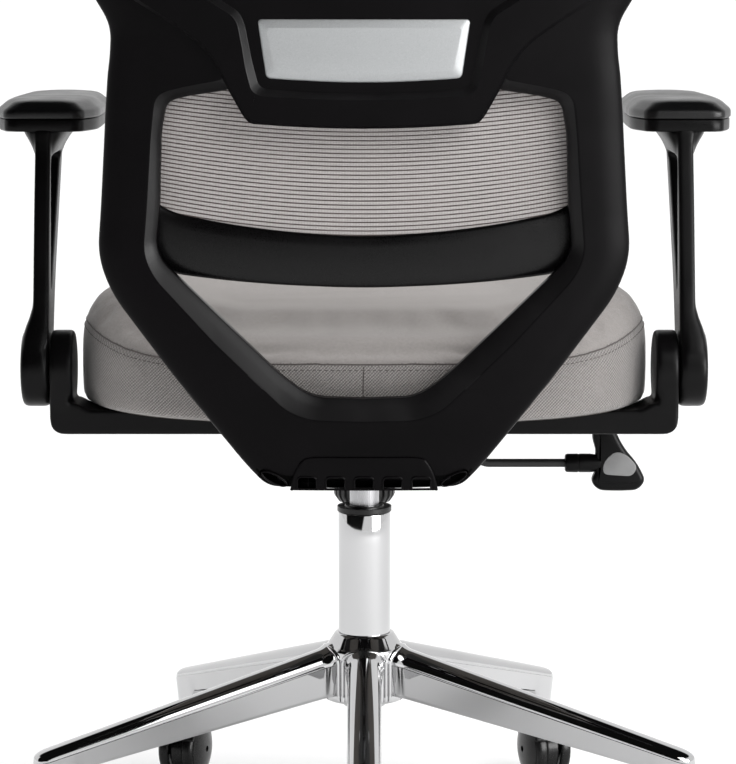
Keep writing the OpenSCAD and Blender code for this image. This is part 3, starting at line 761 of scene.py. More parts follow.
def foot_pad():
    """The raised field on the foot, with arched lips round the slots."""
    top = chain([(65.5, 379, 0), (62.5, 394, 10), (54.5, 408, 9), (44, 409.7, 6), (0, 409.7, 0)], 5, 3)
    rows = [on_back(inset(top, d), -proud) for d, proud in ((0, -1.0), (0, 0.6), (0.7, 1.5), (2.2, 1.9))]
    line = inset(top, 2.2)
    low = [(x, 379.0) for x, _ in line]
    rows += [on_back(part_way(line, low, share), -1.9) for share in (0.35, 0.7, 1.0)]
    rows.append(on_back(low, 1.0))
    # closed in front and at the end, so that the slots can be cut out of it
    verts, faces = bands(rows, False, True)
    faces.append(tuple(i * len(top) for i in range(len(rows))))
    obj = rough("foot_pad", *mirror_x(verts, faces))
    cut(obj, merged([rough("slot", *arch_cutter(x)) for x in ARCHES], "slots"))
    lips = []
    low, high = 379.5, 391.5
    for x in ARCHES:
        path = rounded([(x - 8.6, low, 0), (x - 8.6, high, 4.5), (x + 8.6, high, 4.5), (x + 8.6, low, 0)],
                       6, False)
        lips.append(rough("lip", *tube(on_back(path, -2.0), 0.9, 8)))
    # a lip round each slanted slot
    for s in (-1, 1):
        ring = [(s * 79.5 + 12.2 * math.cos(a) * 0.89 - s * 3.9 * math.sin(a) * 0.46,
                 389.1 + s * 12.2 * math.cos(a) * 0.46 + 3.9 * math.sin(a) * 0.89)
                for a in [2 * math.pi * i / 36 for i in range(36)]]
        lips.append(rough("lip", *tube(on_back(ring, -0.2), 0.8, 8, True)))
    obj = merged([obj] + lips, "foot_pad")
    return dress(obj, FRAME_BLACK, "seat", "black_plastic", (), 40)


# ---------- the brace and its plaque ----------
BRACE_OUT = [(0, 700, 0), (98.5, 704, 8), (104, 710, 5), (117, 733, 5), (127, 753.5, 18), (141, 772, 22),
             (168.4, 791.4, 8), (198.5, 810.2, 8), (230, 832, 22), (247, 862, 20), (250, 905, 10)]
BRACE_TOP = [(0, 834, 0), (108, 838, 20), (150, 856, 20), (200, 892, 10), (238, 914, 8), (250, 905.5, 0)]
RECESS_OUT = [(0, 724.7, 0), (89.5, 728, 6), (97, 732.5, 5), (101.7, 750.4, 5), (105, 771, 8),
              (108.5, 790, 7), (113, 797, 6), (140, 814, 5), (200, 852, 8), (228, 874, 8), (236, 893, 5)]
RECESS_TOP = [(0, 826, 0), (110, 830, 16), (154, 848, 15), (204, 884, 6), (228, 897, 5), (236, 893.5, 0)]
RECESS_IN = [(0, 730, 0), (86, 734, 5), (91.3, 738, 4), (96.5, 758, 5), (99.5, 774, 8), (102.6, 790, 6),
             (107, 800, 6), (134, 817.5, 5), (196, 858, 8), (222, 878, 6), (229, 890, 4)]
RECESS_TOP_IN = [(0, 821, 0), (111, 825, 14), (157, 844, 14), (206, 879, 5), (223, 890, 4), (229, 890.5, 0)]
PROUD = 8.0            # how far the brace stands out behind the frame
BRACE_FRONT = 18.0     # depth of the brace's front face
RECESS_FLOOR = -0.4    # depth of the recess floor in front of the frame's rear face


def ring_of(low, top):
    """The lower line out to the tip, and back over it along the upper line, with points above each other."""
    under = arched(chain(low, 5, 4), 84)
    upper = arched(chain(top, 6, 6), 90)
    above = [(x, float(np.interp(x, *zip(*upper)))) for x, _ in under]
    return under + above[::-1]


def centre_brace():
    """The winged brace across the frame with its sunk field, whose sloping walls carry a painted highlight in
    a lighter black.
    """
    outer = ring_of(BRACE_OUT, BRACE_TOP)
    edge = inset(outer, 2.6)
    recess = ring_of(RECESS_OUT, RECESS_TOP)
    floor = ring_of(RECESS_IN, RECESS_TOP_IN)
    half = len(outer) // 2
    edge = [(0.0 if i in (0, len(edge) - 1) else x, z) for i, (x, z) in enumerate(edge)]
    rows = [on_back(outer, BRACE_FRONT), on_back(outer, -PROUD + 3.2), on_back(edge, -PROUD)]
    for share in (0.1, 0.5, 0.9):
        rows.append(on_back(part_way(edge, recess, share), -PROUD))
    rows.append(on_back(recess, -PROUD))
    for share, d in ((0.12, -PROUD + 0.6), (0.9, RECESS_FLOOR - 0.5), (1.0, RECESS_FLOOR)):
        rows.append(on_back(part_way(recess, floor, share), d))
    verts, faces = bands(rows, False)
    # the recess floor and the front face
    for ring, depth in ((floor, RECESS_FLOOR), (outer, BRACE_FRONT)):
        under, above = ring[:half], ring[half:][::-1]
        grid = [on_back(part_way(under, above, s / 6), depth) for s in range(7)]
        more, squares = bands(grid, False, base=len(verts))
        verts += more
        faces += squares
    obj = shown("centre_brace", *mirror_x(verts, faces), [FRAME_BLACK, FRAME_HIGHLIGHT_BLACK], "seat", "black_plastic",
                "back_brace", 28)
    places = face_places(obj)
    to_recess = away_from(recess, [(x, z) for x, _, z in places])
    # painted highlight: the sloping walls round the sunk field get the lighter black
    for p, (x, y, z), near in zip(obj.data.polygons, places, to_recess):
        if near < 8 and 0.6 < y - rear_y(x, z) < PROUD - 0.1 and abs(p.normal.y) < 0.93:
            p.material_index = 1
    return obj


def plaque_line(d):
    """Half the plaque's outline, inset by d."""
    return arched(chain([(0, 739.8 + d, 0), (60, 741.6 + d, 8), (84.3 - d, 743.4 + d, 4.5),
                         (91.6 - d, 793.9 - d, 4.5), (0, 793.9 - d, 0)], 8, 6), 52)


def plaque():
    """Satin plaque with a wide bevelled edge."""
    rows = []
    for d, proud in ((0.0, -4.0), (0.0, 0.6), (0.5, 1.3), (1.4, 1.7), (6.6, 3.1), (7.4, 3.25)):
        rows.append(on_back(plaque_line(d), -proud))
    verts, faces = bands(rows, False)
    inner = plaque_line(7.4)
    widest = max(range(len(inner)), key=lambda i: inner[i][0])
    under, over = inner[:widest + 1], inner[widest:][::-1]
    above = [(x, float(np.interp(x, *zip(*over)))) for x, _ in under]
    grid = [on_back(part_way(under, above, share), -3.25) for share in (0.0, 0.35, 0.7, 1.0)]
    more, squares = bands(grid, False, base=len(verts))
    verts, faces = verts + more, faces + squares
    return shown("plaque", *mirror_x(verts, faces), SILVER, "seat", "satin_plaque", "brace_plaque", 30)


# ---------- the hoop and the mesh ----------
HOOP_REAR = 23.0       # depth of the hoop's rear in front of the frame's rear face
HOOP_FRONT = 39.0
HOOP_OUT = [(0, 558, 0), (60, 559.3, 30), (120, 563.4, 30), (176, 570, 40), (207, 590, 24), (214, 630, 20),
            (212.5, 720, 60), (213, 772, 30), (241, 829, 55), (262, 890, 50), (258, 1000, 100),
            (250, 1082, 60), (240, 1128, 40), (150, 1132, 30), (0, 1136, 0)]
HOOP_IN = [(0, 604.5, 0), (60, 607, 30), (120, 614.5, 30), (166, 623.5, 14), (184, 633, 12), (187.5, 650, 12),
           (186.5, 720, 60), (187, 776, 30), (215, 838, 55), (236, 893, 50), (232, 1000, 100),
           (225, 1076, 50), (214, 1102, 26), (150, 1106, 30), (0, 1110, 0)]


def mesh_frame():
    """The hoop that carries the mesh, with a soft oval section."""
    outer, inner = arched(chain(HOOP_OUT, 6, 4), 40), arched(chain(HOOP_IN, 6, 4), 40)
    rows = []
    sides = 20
    middle, thick = (HOOP_REAR + HOOP_FRONT) / 2, (HOOP_FRONT - HOOP_REAR) / 2
    for a, b in zip(outer, inner):
        row = []
        for s in range(sides):
            angle = 2 * math.pi * s / sides
            c, q = math.cos(angle), math.sin(angle)
            share = 0.5 + 0.5 * math.copysign(abs(c) ** 0.55, c)
            depth = middle + thick * math.copysign(abs(q) ** 0.6, q)
            x, z = a[0] + (b[0] - a[0]) * share, a[1] + (b[1] - a[1]) * share
            row.append((x, rear_y(x, z) - depth, z))
        rows.append(row)
    verts, faces = bands(rows, True)
    return shown("mesh_frame", *mirror_x(verts, faces), HOOP_BLACK, "seat", "black_plastic", "mesh_hoop", 45)


RIB_PITCH = 3.78
MESH_DEPTH = HOOP_REAR + 6
MESH_LOW, MESH_TOP = 597.0, 1118.0
# Half width of the mesh at some heights: (z, half width)
MESH_HALF = [(640, 200), (750, 198), (778, 200), (830, 228), (860, 241), (900, 248), (950, 247), (1000, 243),
             (1040, 237), (1120, 228)]


def mesh_point(u, v, depth):
    """A point of the mesh, u from side to side (-1..1) and v upwards (0..1)."""
    low = MESH_LOW + 22 * u * u
    high = MESH_TOP - 8 * abs(u) ** 4
    z = low + (high - low) * v
    half = float(np.interp(z, *zip(*MESH_HALF)))
    x = u * half
    return x, rear_y(x, z) - depth, z


def mesh_sheet():
    """The stretched mesh: a shallow wave from rib to rib, and the dark yarn in each groove."""
    ribs = round((MESH_TOP - MESH_LOW) / RIB_PITCH)
    across = 44
    wave = (0.35, 0.1, 0.0, 0.1)      # depth of the sheet over one rib pitch
    rows = []
    for i in range(ribs * 4 + 1):
        v = i / (ribs * 4)
        rows.append([mesh_point(2 * j / across - 1, v, MESH_DEPTH + wave[i % 4]) for j in range(across + 1)])
    verts, faces = bands(rows, False)
    sheet = shown("back_mesh", verts, faces, MESH, "seat", "mesh", "mesh_panel", 60)
    body = sheet.modifiers.new("thickness", "SOLIDIFY")
    body.thickness = 0.8 * MM
    body.offset = 1
    strands, quads = [], []
    for i in range(1, ribs):
        v = i / ribs
        path = [mesh_point(2 * j / across - 1, v, MESH_DEPTH) for j in range(across + 1)]
        rings = [[(x, y + dy, z + dz) for dy, dz in ((1.05, -0.45), (1.05, 0.45), (-1.4, 0.45),
                                                     (-1.4, -0.45))]
                 for x, y, z in path]
        more, squares = bands(rings, True, False, True, True, base=len(strands))
        strands += more
        quads += squares
    ribs_obj = shown("mesh_ribs", strands, quads, RIB, "seat", "mesh", (), 60)
    return sheet


# ---------- star base ----------
BASE_R = highest("five_star_base")[1]
ARM_TURN = (90, 162, 234, 306, 18)      # direction of each arm, in degrees
TRAIL_TURN = (90, 127, 110, 70, 53)     # direction in which each caster trails
STEM_AT = BASE_R - 21
CROWN = 14                              # steps on each half of an arm's crown


def about_z(turn):
    """Turns by that many degrees about the column's axis."""
    return Matrix.Rotation(math.radians(turn), 4, "Z")


def base_arm():
    """One arm: rounded crown, a fine crease and flanks that lean in, open below as far as the caster boss."""
    rows = []
    reach = [20, 30, 36, 38, 40, 42, 44, 46, 50, 70, 100, 140, 180, 220, 255]
    reach += [280, 286, 289, 292, 300, 306, 311]
    reach += [311 + 15 * math.sin(math.radians(a)) for a in (12, 25, 38, 50, 61, 71, 79, 85, 89)]
    for r in reach:
        # half width, height of the crown, and the heights of the crease, lower edge and inner roof
        w = 16.6 - 1.6 * (r - 30) / 281 if r <= 311 else math.sqrt(max(225 - (r - 311) ** 2, 0.02))
        top = 187.6 - 0.289 * (r - 44)
        h = 15 - 7 * (r - 30) / 296
        edge = top - h
        if r > 311:
            h *= (w / 15) ** 0.45
        low = 144 - 0.211 * (r - 30) if r < 286 else max(90 - 18 * (r - 286) / 4, 72)
        wall = min(3.2, w * 0.6)
        roof = edge - 1 if r < 286 else max(edge - 1 - (edge - low - 3) * (r - 286) / 4, low + 1.5)
        flare = 2.4 * (1 - smooth_step((r - 37) / 9))
        w += flare
        h += flare
        tall = edge - low - 2.1
        foot = w * 0.76
        low_in, high_in = foot + (w - foot) * 0.1, foot + (w - foot) * 0.9
        left = [(-foot + wall, low), (-foot + 0.6, low), (-foot, low + 0.8),
                (-low_in, low + 0.8 + tall * 0.1), (-high_in, edge - 1.3 - tall * 0.1), (-w, edge - 1.3),
                (-w + 0.5, edge - 0.9), (-w + 0.5, edge - 0.2)]
        row = list(left)
        for s in range(CROWN * 2 + 1):
            a = math.pi * (1 - s / (2 * CROWN))
            row.append(((w - 0.35) * math.cos(a), edge + h * math.sin(a) ** 0.92))
        row += [(-y, z) for y, z in left[::-1]]
        row += [(foot - wall, roof), (0, roof), (-foot + wall, roof)]
        rows.append([(r, y, z) for y, z in row])
    return solid(rows)


def star_base():
    """Five arms round a hub, with a boss for each caster's stem."""
    hub = [(24.6, 137), (36.4, 137), (37.6, 137.5), (38, 138.8), (38, 142), (38, 184), (38, 186.4),
           (37.6, 187.8), (36.8, 188.8), (35.6, 190.2), (30, 199), (28.6, 201), (27.6, 201.8), (26.6, 202),
           (24.6, 202)]
    # a raised lip arches over the root of each arm
    lip = rounded([(-20.4, 139.5, 0), (-20.4, 186, 26), (0, 190.6, 12), (20.4, 186, 26), (20.4, 139.5, 0)],
                  10, False)
    arch = tube([(math.sqrt(38.2 ** 2 - y * y), y, z) for y, z in lip], 2.1, 10)
    verts, faces = lathe([(5.6, 71.4), (9.4, 71.4), (10.2, 72.2), (10.2, 80), (5.6, 80)], 32)
    boss = placed(verts, Matrix.Translation((STEM_AT, 0, 0))), faces
    arm = base_arm()
    solids = [lathe(hub, 96)]
    for turn in ARM_TURN:
        solids += [(placed(verts, about_z(turn)), faces) for verts, faces in (arm, arch, boss)]
    return shown("star_base", *joined(solids), CHROME, "base", "chrome", "five_star_base", 38)


# ---------- casters ----------
AXLE_Z = middle("caster_axle_1")[2]
TRAIL = middle("caster_axle_1")[1] - STEM_AT    # from the stem's axis to the axle's


def caster_place(k):
    """Where a caster stands and which way it trails."""
    return about_z(ARM_TURN[k]) @ Matrix.Translation((STEM_AT, 0, 0)) @ about_z(TRAIL_TURN[k] - ARM_TURN[k])


def by_axle(p, q, y):
    """A point at (p, q) from a caster's axle and at y along it."""
    return TRAIL + p, y, AXLE_Z + q


def hood_shape():
    """Fender over both wheels, the web between them and the boss round the stem."""
    fender = [(31.8, -22.6), (32.8, -22.8), (34.2, -21.6), (35.1, -18), (35.6, -11), (35.8, 0), (35.6, 11),
              (35.1, 18), (34.2, 21.6), (32.8, 22.8), (31.8, 22.6), (32.0, 0)]
    web = [(TRAIL + 25.5 * math.cos(math.radians(a)), AXLE_Z + 25.5 * math.sin(math.radians(a)))
           for a in range(-70, 121, 10)] + [(-9, 66), (-9, 44), (TRAIL - 12, 18)]
    boss = lathe([(0.01, 47), (9.6, 47), (10.5, 48), (10.5, 66), (9.8, 67.2), (8.6, 67.8), (0.01, 67.8)], 40)
    parts = [rough("fender", *turned(fender, by_axle, 40, 25, 155)),
             rough("web", *prism(web, -7, 7, 1.2, in_front)), rough("boss", *boss)]
    return fused(parts, "hood", fineness(1.1), 4)


def wheel_pair():
    """Two dished wheels on one axle."""
    tyre = [(3.2, 8.6), (9, 8.6), (10, 13), (24, 13), (25.5, 8.2), (28.4, 8), (29.5, 8.7), (30, 10.2),
            (30, 14.6), (29.5, 16.6), (28.2, 18.2), (26.6, 19.0), (26.2, 18.6), (25.6, 18.7), (25.3, 19.6),
            (21, 21.4), (15, 23.2), (9, 24.2), (3.2, 24.5)]
    return joined([turned([(r, y * side) for r, y in tyre], by_axle, 72) for side in (1, -1)])


def casters():
    """Five hoods, each with its pair of wheels."""
    hood = hood_shape()
    wheels = wheel_pair()
    for k in range(5):
        place = caster_place(k)
        cover = linked("caster_cover_%d" % (k + 1), hood.data.copy())
        scaled = place.copy()
        scaled.translation *= MM
        cover.data.transform(scaled)
        dress(cover, NYLON, "caster_%d" % (k + 1), "black_nylon", "caster_hood_%d" % (k + 1), 40)
        shown("caster_wheel_pair_%d" % (k + 1), placed(wheels[0], place), wheels[1], NYLON,
              "wheels_%d" % (k + 1), "black_nylon", "caster_wheels_%d" % (k + 1), 30)
    bpy.data.objects.remove(hood)


# ---------- gas lift and knob ----------
def gas_lift():
    """Chromed column, its collar and the ram."""
    tube_wall = [(5.06, 130), (20, 130), (21, 131), (24.5, 170), (24.5, 201.8), (25, 202.3), (25, 205),
                 (25, 290), (25, 318.4), (24.7, 319.3), (24, 319.9), (22.5, 320), (22.5, 174), (18, 135),
                 (5.06, 135)]
    shown("lift_column", *lathe(tube_wall, 128), CHROME, "base", "chrome", "gas_column", 40)
    ring = [(14.06, 245.4), (14.6, 245), (22.4, 245), (22.4, 320.1), (25.8, 320.1), (26, 320.4), (26, 324.7),
            (25.7, 325), (24.4, 325), (24, 324), (19, 324), (18.6, 325.9), (18.2, 326.4), (15, 326.6),
            (14.06, 326.2)]
    shown("column_collar", *lathe(ring, 128), KNOB_BLACK, "base", "black_nylon", "column_bushing", 30)
    ram = [(5.06, 196), (12.6, 196), (13.6, 196.8), (14, 198), (14, 400.2), (13.3, 401), (4.06, 401),
           (4.06, 388), (12, 388), (12, 210), (5.06, 210)]
    shown("lift_ram", *lathe(ram, 96), BRIGHT_STEEL, "mechanism", "steel", "gas_cylinder", 40)


FLUTES = 24
KNOB_Y = middle("tension_knob")[1]


def knob():
    """Tension knob with flutes round its rim."""
    profile = [(0.01, 315), (21.5, 315), (23.6, 315.5), (24.8, 316.6), (27.2, 321.6), (28, 324), (28, 343.6),
               (27.4, 345.6), (25.8, 346.8), (24, 347), (5.06, 347), (5.06, 319), (0.01, 319)]
    rows = []
    for i in range(12 * FLUTES):
        a = 2 * math.pi * i / (12 * FLUTES)
        lobe = 1.9 - 2.6 * max(0.0, -math.cos(FLUTES * a)) ** 0.6
        row = []
        for r, z in profile:
            q = r + (lobe * min((r - 23) / 4, 1) if r > 23.2 else 0)
            row.append((q * math.cos(a), KNOB_Y + q * math.sin(a), z))
        rows.append(row)
    shown("tilt_knob", *bands(rows, True, True), KNOB_BLACK, "tension", "black_plastic", "tension_knob", 40)


# ---------- lever ----------
_, ROD_Y, ROD_Z = middle("lever_socket")       # axis of the lever's rod


def by_rod(p, q, x):
    """A point at (p, q) from the axis of the lever's rod and at x along it."""
    return x, ROD_Y + p, ROD_Z + q


def lever_handle():
    """The lever's grip, its badge and the collar on the rod."""
    grip = rounded([(-228, 404.6, 9), (-237.6, 402.5, 6), (-248.5, 380.8, 16), (-261.5, 366, 16),
                    (-269.4, 350, 12), (-262, 340.6, 9), (-243, 339.6, 16), (-224, 340.4, 10),
                    (-216.4, 349, 9), (-221, 359, 3), (-221, 380, 3), (-217.5, 392, 6),
                    (-219.6, 402.6, 7)], 6)
    shown("lever_grip", *prism(grip, -8, 9, 5, in_front, 5), ARM_BLACK, "lever", "black_plastic",
          "lever_paddle", 40)
    mark = rounded([(-227.6, 356.4, 9), (-228.6, 369, 8), (-240, 379.2, 9), (-251, 375.2, 9),
                    (-261.2, 364, 9), (-256, 354.6, 9)], 6)
    shown("lever_badge_plate", *prism(mark, 8.2, 9.8, 0.6, in_front, 3), BADGE, "lever", "badge",
          "lever_badge", 40)
    collar = [(4.2, -192), (7.2, -192), (8.3, -192.7), (8.9, -194.5), (9, -204), (8.6, -204.4), (8.6, -205.4),
              (9, -205.8), (9, -216), (7.6, -226.5), (6, -227.5), (0.01, -227.5), (0.01, -200), (4.2, -200)]
    shown("lever_collar", *turned(collar, by_rod, 48), ARM_BLACK, "lever", "black_plastic",
          "lever_socket", 35)


# ---------- armrests ----------
_, ARM_Y, ARM_Z = middle("arm_pin_left")       # axis of the armrests' hinges
DRUM_R = 35.5
LOOP_IN = 290.2        # inner face of the upright on the +X side, just outside its bracket
DRUM_OUT = 316.0
BRACKET_OUT = 289.6
PAD_X = middle("pad_shell_left")[0]


def drum(x0, x1, soft):
    """A disc about the hinge axis with rounded rims."""
    turns = [math.radians(a) for a in range(0, 360, 5)]
    ring = [(ARM_Y + DRUM_R * math.cos(a), ARM_Z + DRUM_R * math.sin(a)) for a in turns]
    return prism(ring, x0, x1, soft, in_side, 5)


def upright_shape():
    """Hinge drum and the looped upright of the armrest on the +X side."""
    legs = rounded([(56, 490, 8), (113, 490, 8), (103, 520, 20), (79, 620, 40), (64, 668, 20), (61, 692, 8),
                    (-86, 692, 12), (-60, 670, 12), (-8, 600, 60), (34, 540, 30)], 8)
    bar = rough("legs", *prism(legs, LOOP_IN, 305, 1, in_side, 2))
    hole = rounded([(75, 536, 14), (59, 665, 18), (-31, 665, 20)], 8)
    cut(bar, rough("hole", *prism(hole, 280, 320, 0.2, in_side, 1)))
    shoulder = []
    for z, x1, y0, y1 in ((468, DRUM_OUT, 49, 119), (488, DRUM_OUT, 53, 115), (499, 315, 57, 111),
                          (508, 312.4, 61, 107.5), (517, 308.8, 64, 104.6), (527, 306, 60, 101.5),
                          (540, 305, 58, 98.4)):
        section = oval((LOOP_IN + x1) / 2, (y0 + y1) / 2, (x1 - LOOP_IN) / 2, (y1 - y0) / 2, 5)
        shoulder.append([(x, y, z) for x, y in section])
    neck = []
    for z, half, y0, y1 in ((648, 7.3, -42, 66), (656, 8.0, -48, 64.5), (664, 9.8, -55, 63),
                            (671, 12.6, -62, 62), (677, 16.2, -70, 61), (682, 19.8, -78, 60.5),
                            (687, 22.6, -85, 60)):
        neck.append([(x, y, z) for x, y in oval(297.6, (y0 + y1) / 2, half, (y1 - y0) / 2, 3.6)])
    cut_neck = rough("neck", *solid(neck))
    cut(cut_neck, rough("hole", *prism(hole, 270, 330, 0.2, in_side, 1)))
    parts = [rough("drum", *drum(LOOP_IN, DRUM_OUT, 5)), bar, cut_neck,
             rough("shoulder", *solid(shoulder))]
    return fused(parts, "upright", fineness(1.5), fineness(14))


def bracket_shape():
    """Bracket from under the seat up to the hinge, on the +X side."""
    bar = rounded([(106, 433, 6), (106, 410.4, 6), (BRACKET_OUT, 410.4, 44), (BRACKET_OUT, 440, 6),
                   (266, 440, 6), (254, 433, 6)], 10)
    web = rounded([(49, 469, 4), (57, 428, 8), (111, 428, 8), (119, 469, 4)], 5)
    parts = [rough("bar", *prism(bar, ARM_Y - 28, ARM_Y + 28, 1, in_front)),
             rough("web", *prism(web, 272, BRACKET_OUT, 2, in_side)),
             rough("drum", *drum(268.2, BRACKET_OUT - 0.2, 3))]
    return fused(parts, "bracket", fineness(1.6), fineness(10))


def pad_plan(d):
    """Plan outline of an arm pad inset by d."""
    w, rear, front = 48 - d, 62 - d, -188 + d
    half = [(w - 19, rear, 6), (w - 11, rear - 5, 7), (w, rear - 42, 18), (w, rear - 110, 30),
            (w - 5, front + 16, 16), (w - 14, front, 9)]
    return rounded(half + [(-x, y, r) for x, y, r in half[::-1]], 6)


def pad(side, name):
    """Hard shell and soft top of an arm pad."""
    shift = PAD_X * side
    under = [(2.2, 686.2), (1.2, 687.2), (1, 689), (1, 696.4), (1.6, 697.4), (2.6, 697.8)]
    rows = [[(shift + x, y, z) for x, y in pad_plan(d)] for d, z in under]
    shown("pad_base_" + name, *solid(rows), ARM_BLACK, "arm_" + name,
          "black_plastic", "pad_shell_" + name, 40)
    over = [(3, 697.9), (1.2, 698), (0.3, 698.7), (0, 700), (0, 703.6), (0.5, 705.4), (1.6, 706.8),
            (7, 711.6), (8.6, 712.8), (10.6, 713.8), (14, 714.7), (19, 715.3), (25, 715.8)]
    rows = [[(shift + x, y, z) for x, y in pad_plan(d)] for d, z in over]
    top = shown("pad_cushion_" + name, *solid(rows), SKIN, "arm_" + name,
                "pad_leather", "pad_top_" + name, 180)


def armrests():
    """Brackets, looped uprights and pads on both sides."""
    upright, bracket = upright_shape(), bracket_shape()
    for name, side in SIDES.items():
        for shape, label, body, node in ((upright, "arm_loop_", "arm_" + name, "arm_" + name),
                                         (bracket, "hinge_bracket_", "seat", "arm_bracket_" + name)):
            mesh = shape.data.copy()
            if side < 0:
                mesh.transform(Matrix.Scale(-1, 4, (1, 0, 0)))
                mesh.flip_normals()
            obj = linked(label + name, mesh)
            dress(obj, ARM_BLACK, body, "black_plastic", node, 60)
        pad(side, name)
    bpy.data.objects.remove(upright)
    bpy.data.objects.remove(bracket)


# ---------- seat ----------
SEAM_Z = 489.0
SEAM_IN = 3.8          # how far in from the seat's widest outline the seam runs
SEAT_REAR = highest("seat_cushion")[1]
SEAT_MID = middle("seat_cushion")[1]
SEAT_RISE = 22.0       # how much higher the sides of the top are than its middle


def seam_z(x, y):
    """Height of the seam, which climbs along the sides from the rear corners."""
    return SEAM_Z + SEAT_RISE * smooth_step((abs(x) - 110) / 150) * smooth_step((205 - y) / 165)


def risen(x, y, z):
    """Height of a point of the seat after the upper part of its sides has been lifted."""
    return z + (seam_z(x, y) - SEAM_Z) * smooth_step((z - 436) / (SEAM_Z - 436))


def seat_plan(d, count=220):
    """Plan outline of the seat inset by d, evenly spaced, from the middle of the rear over +X."""
    w, back, front, c, f = 269 - d, SEAT_REAR - d, -268 + d, max(175 - d, 20), max(70 - d, 12)

    def arc(cx, cy, r, a0, a1, n):
        turns = [math.radians(a0 + (a1 - a0) * i / n) for i in range(n + 1)]
        return [(cx + r * math.cos(a), cy + r * math.sin(a)) for a in turns]

    # rear, rear corner, side, front corner and front
    half = arc(0, back - 900, 900, 90, 82, 8) + arc(w - c, back - 12 - c, c, 72, 0, 16) + [(w, 20)]
    half += arc(w - 8 - f, front + 14 + f, f, 0, -72, 10) + arc(0, front + 900, 900, -80.5, -90, 8)
    line = half + [(-x, y) for x, y in half[-2:0:-1]]
    pts = np.array(line + line[:1])
    # soften the corners between the arcs
    lengths = np.concatenate([[0], np.cumsum(np.linalg.norm(np.diff(pts, axis=0), axis=1))])
    t = np.linspace(0, lengths[-1], count, endpoint=False)
    even = np.stack([np.interp(t, lengths, pts[:, i]) for i in range(2)], 1)
    for _ in range(6):
        even = (np.roll(even, 1, 0) + 2 * even + np.roll(even, -1, 0)) / 4
    return [tuple(p) for p in even]


# Section of the seat, from under it over its side to the middle of its top: (inset, height)
SEAT_SECTION = [(60, 434), (10, 433.4), (3.4, 433.8), (1.2, 436), (0.2, 441), (-0.4, 452), (-0.4, 464),
                (0, 476), (1.6, 484), (3.8, 489), (5.2, 495), (7.2, 501), (10.2, 506.8), (14.6, 511.4),
                (21, 515), (30, 517.4), (44, 518.8), (62, 519.6), (84, 520), (110, 519.6), (130, 519)]
SHRINK = 0.988         # size of the seat before it swells
SWELL_MOST = 9.0       # how far the cover may swell
SWELL_FRAMES = 20
SEAT_SIDE_MOST = 270.5  # half width that the swollen seat keeps to, inside the arm brackets


def shrunk(x, y, z, size):
    """A point of the seat at another size in plan, about the seat's middle."""
    return x * size, (y - SEAT_MID) * size + SEAT_MID, z


def seam_tree(size):
    """Tree of points along the seam round the top panel and up the middle of the rear side."""
    line = [shrunk(x, y, seam_z(x, y), size) for x, y in seat_plan(SEAM_IN, 1200)]
    line += [shrunk(0.0, SEAT_REAR, z, size) for z in np.arange(438, SEAM_Z, 1.5)]
    tree = KDTree(len(line))
    for i, p in enumerate(np.array(line) * MM):
        tree.insert(p, i)
    tree.balance()
    return tree


def swell(obj):
    """Cloth simulation of the cover under the foam's pressure; the underside and the seam hold still."""
    start = coordinates(obj.data)
    hold = obj.vertex_groups.new(name="hold")
    tree = seam_tree(SHRINK)
    for i, co in enumerate(start):
        near = tree.find(co)[2]
        weight = 1.0 if co[2] < 0.438 else max(0.0, 1 - near / 0.009) * 0.9
        if weight > 0:
            hold.add([i], weight, "REPLACE")
    cover = obj.modifiers.new("swell", "CLOTH")
    s = cover.settings
    s.quality = 4
    s.mass = 0.4
    s.tension_stiffness = s.compression_stiffness = 12
    s.shear_stiffness = 8
    s.bending_stiffness = 3
    s.use_pressure = True
    s.uniform_pressure_force = 4.0
    s.effector_weights.gravity = 0.0
    s.vertex_group_mass = "hold"
    cover.collision_settings.use_collision = False
    cover.point_cache.frame_start = 1
    cover.point_cache.frame_end = SWELL_FRAMES
    scene = bpy.context.scene
    for f in range(1, SWELL_FRAMES + 1):
        scene.frame_set(f)
    applied(obj)
    scene.frame_set(1)
    step = coordinates(obj.data) - start
    size = np.linalg.norm(step, axis=1, keepdims=True)
    now = start + step * np.minimum(1, SWELL_MOST * MM / np.maximum(size, 1e-9))
    now[:, 0] = np.clip(now[:, 0], -SEAT_SIDE_MOST * MM, SEAT_SIDE_MOST * MM)
    obj.data.vertices.foreach_set("co", now.ravel())


def press_seam(obj):
    """Presses the seam's groove into the seat, with small puckers on both sides."""
    tree = seam_tree(1.0)
    mesh = obj.data
    co, no = coordinates(mesh), coordinates(mesh, "normal")
    waves = np.random.default_rng(7).uniform(0, 2 * math.pi, 3)
    for i in range(len(co)):
        _, place, d = tree.find(co[i])
        d /= MM
        if d > 34:
            continue
        run = place * 1.6
        groove = 1.5 * math.exp(-(d / 3.0) ** 2)
        pucker = math.sin(run / 9.0 + waves[0]) * 0.5 + math.sin(run / 5.3 + waves[1]) * 0.3
        pucker *= 0.5 + 0.5 * math.sin(run / 61.0 + waves[2])
        co[i] -= no[i] * (groove - pucker * 0.55 * math.exp(-((d - 7) / 8.0) ** 2)) * MM
    mesh.vertices.foreach_set("co", co.ravel())
    mesh.update()


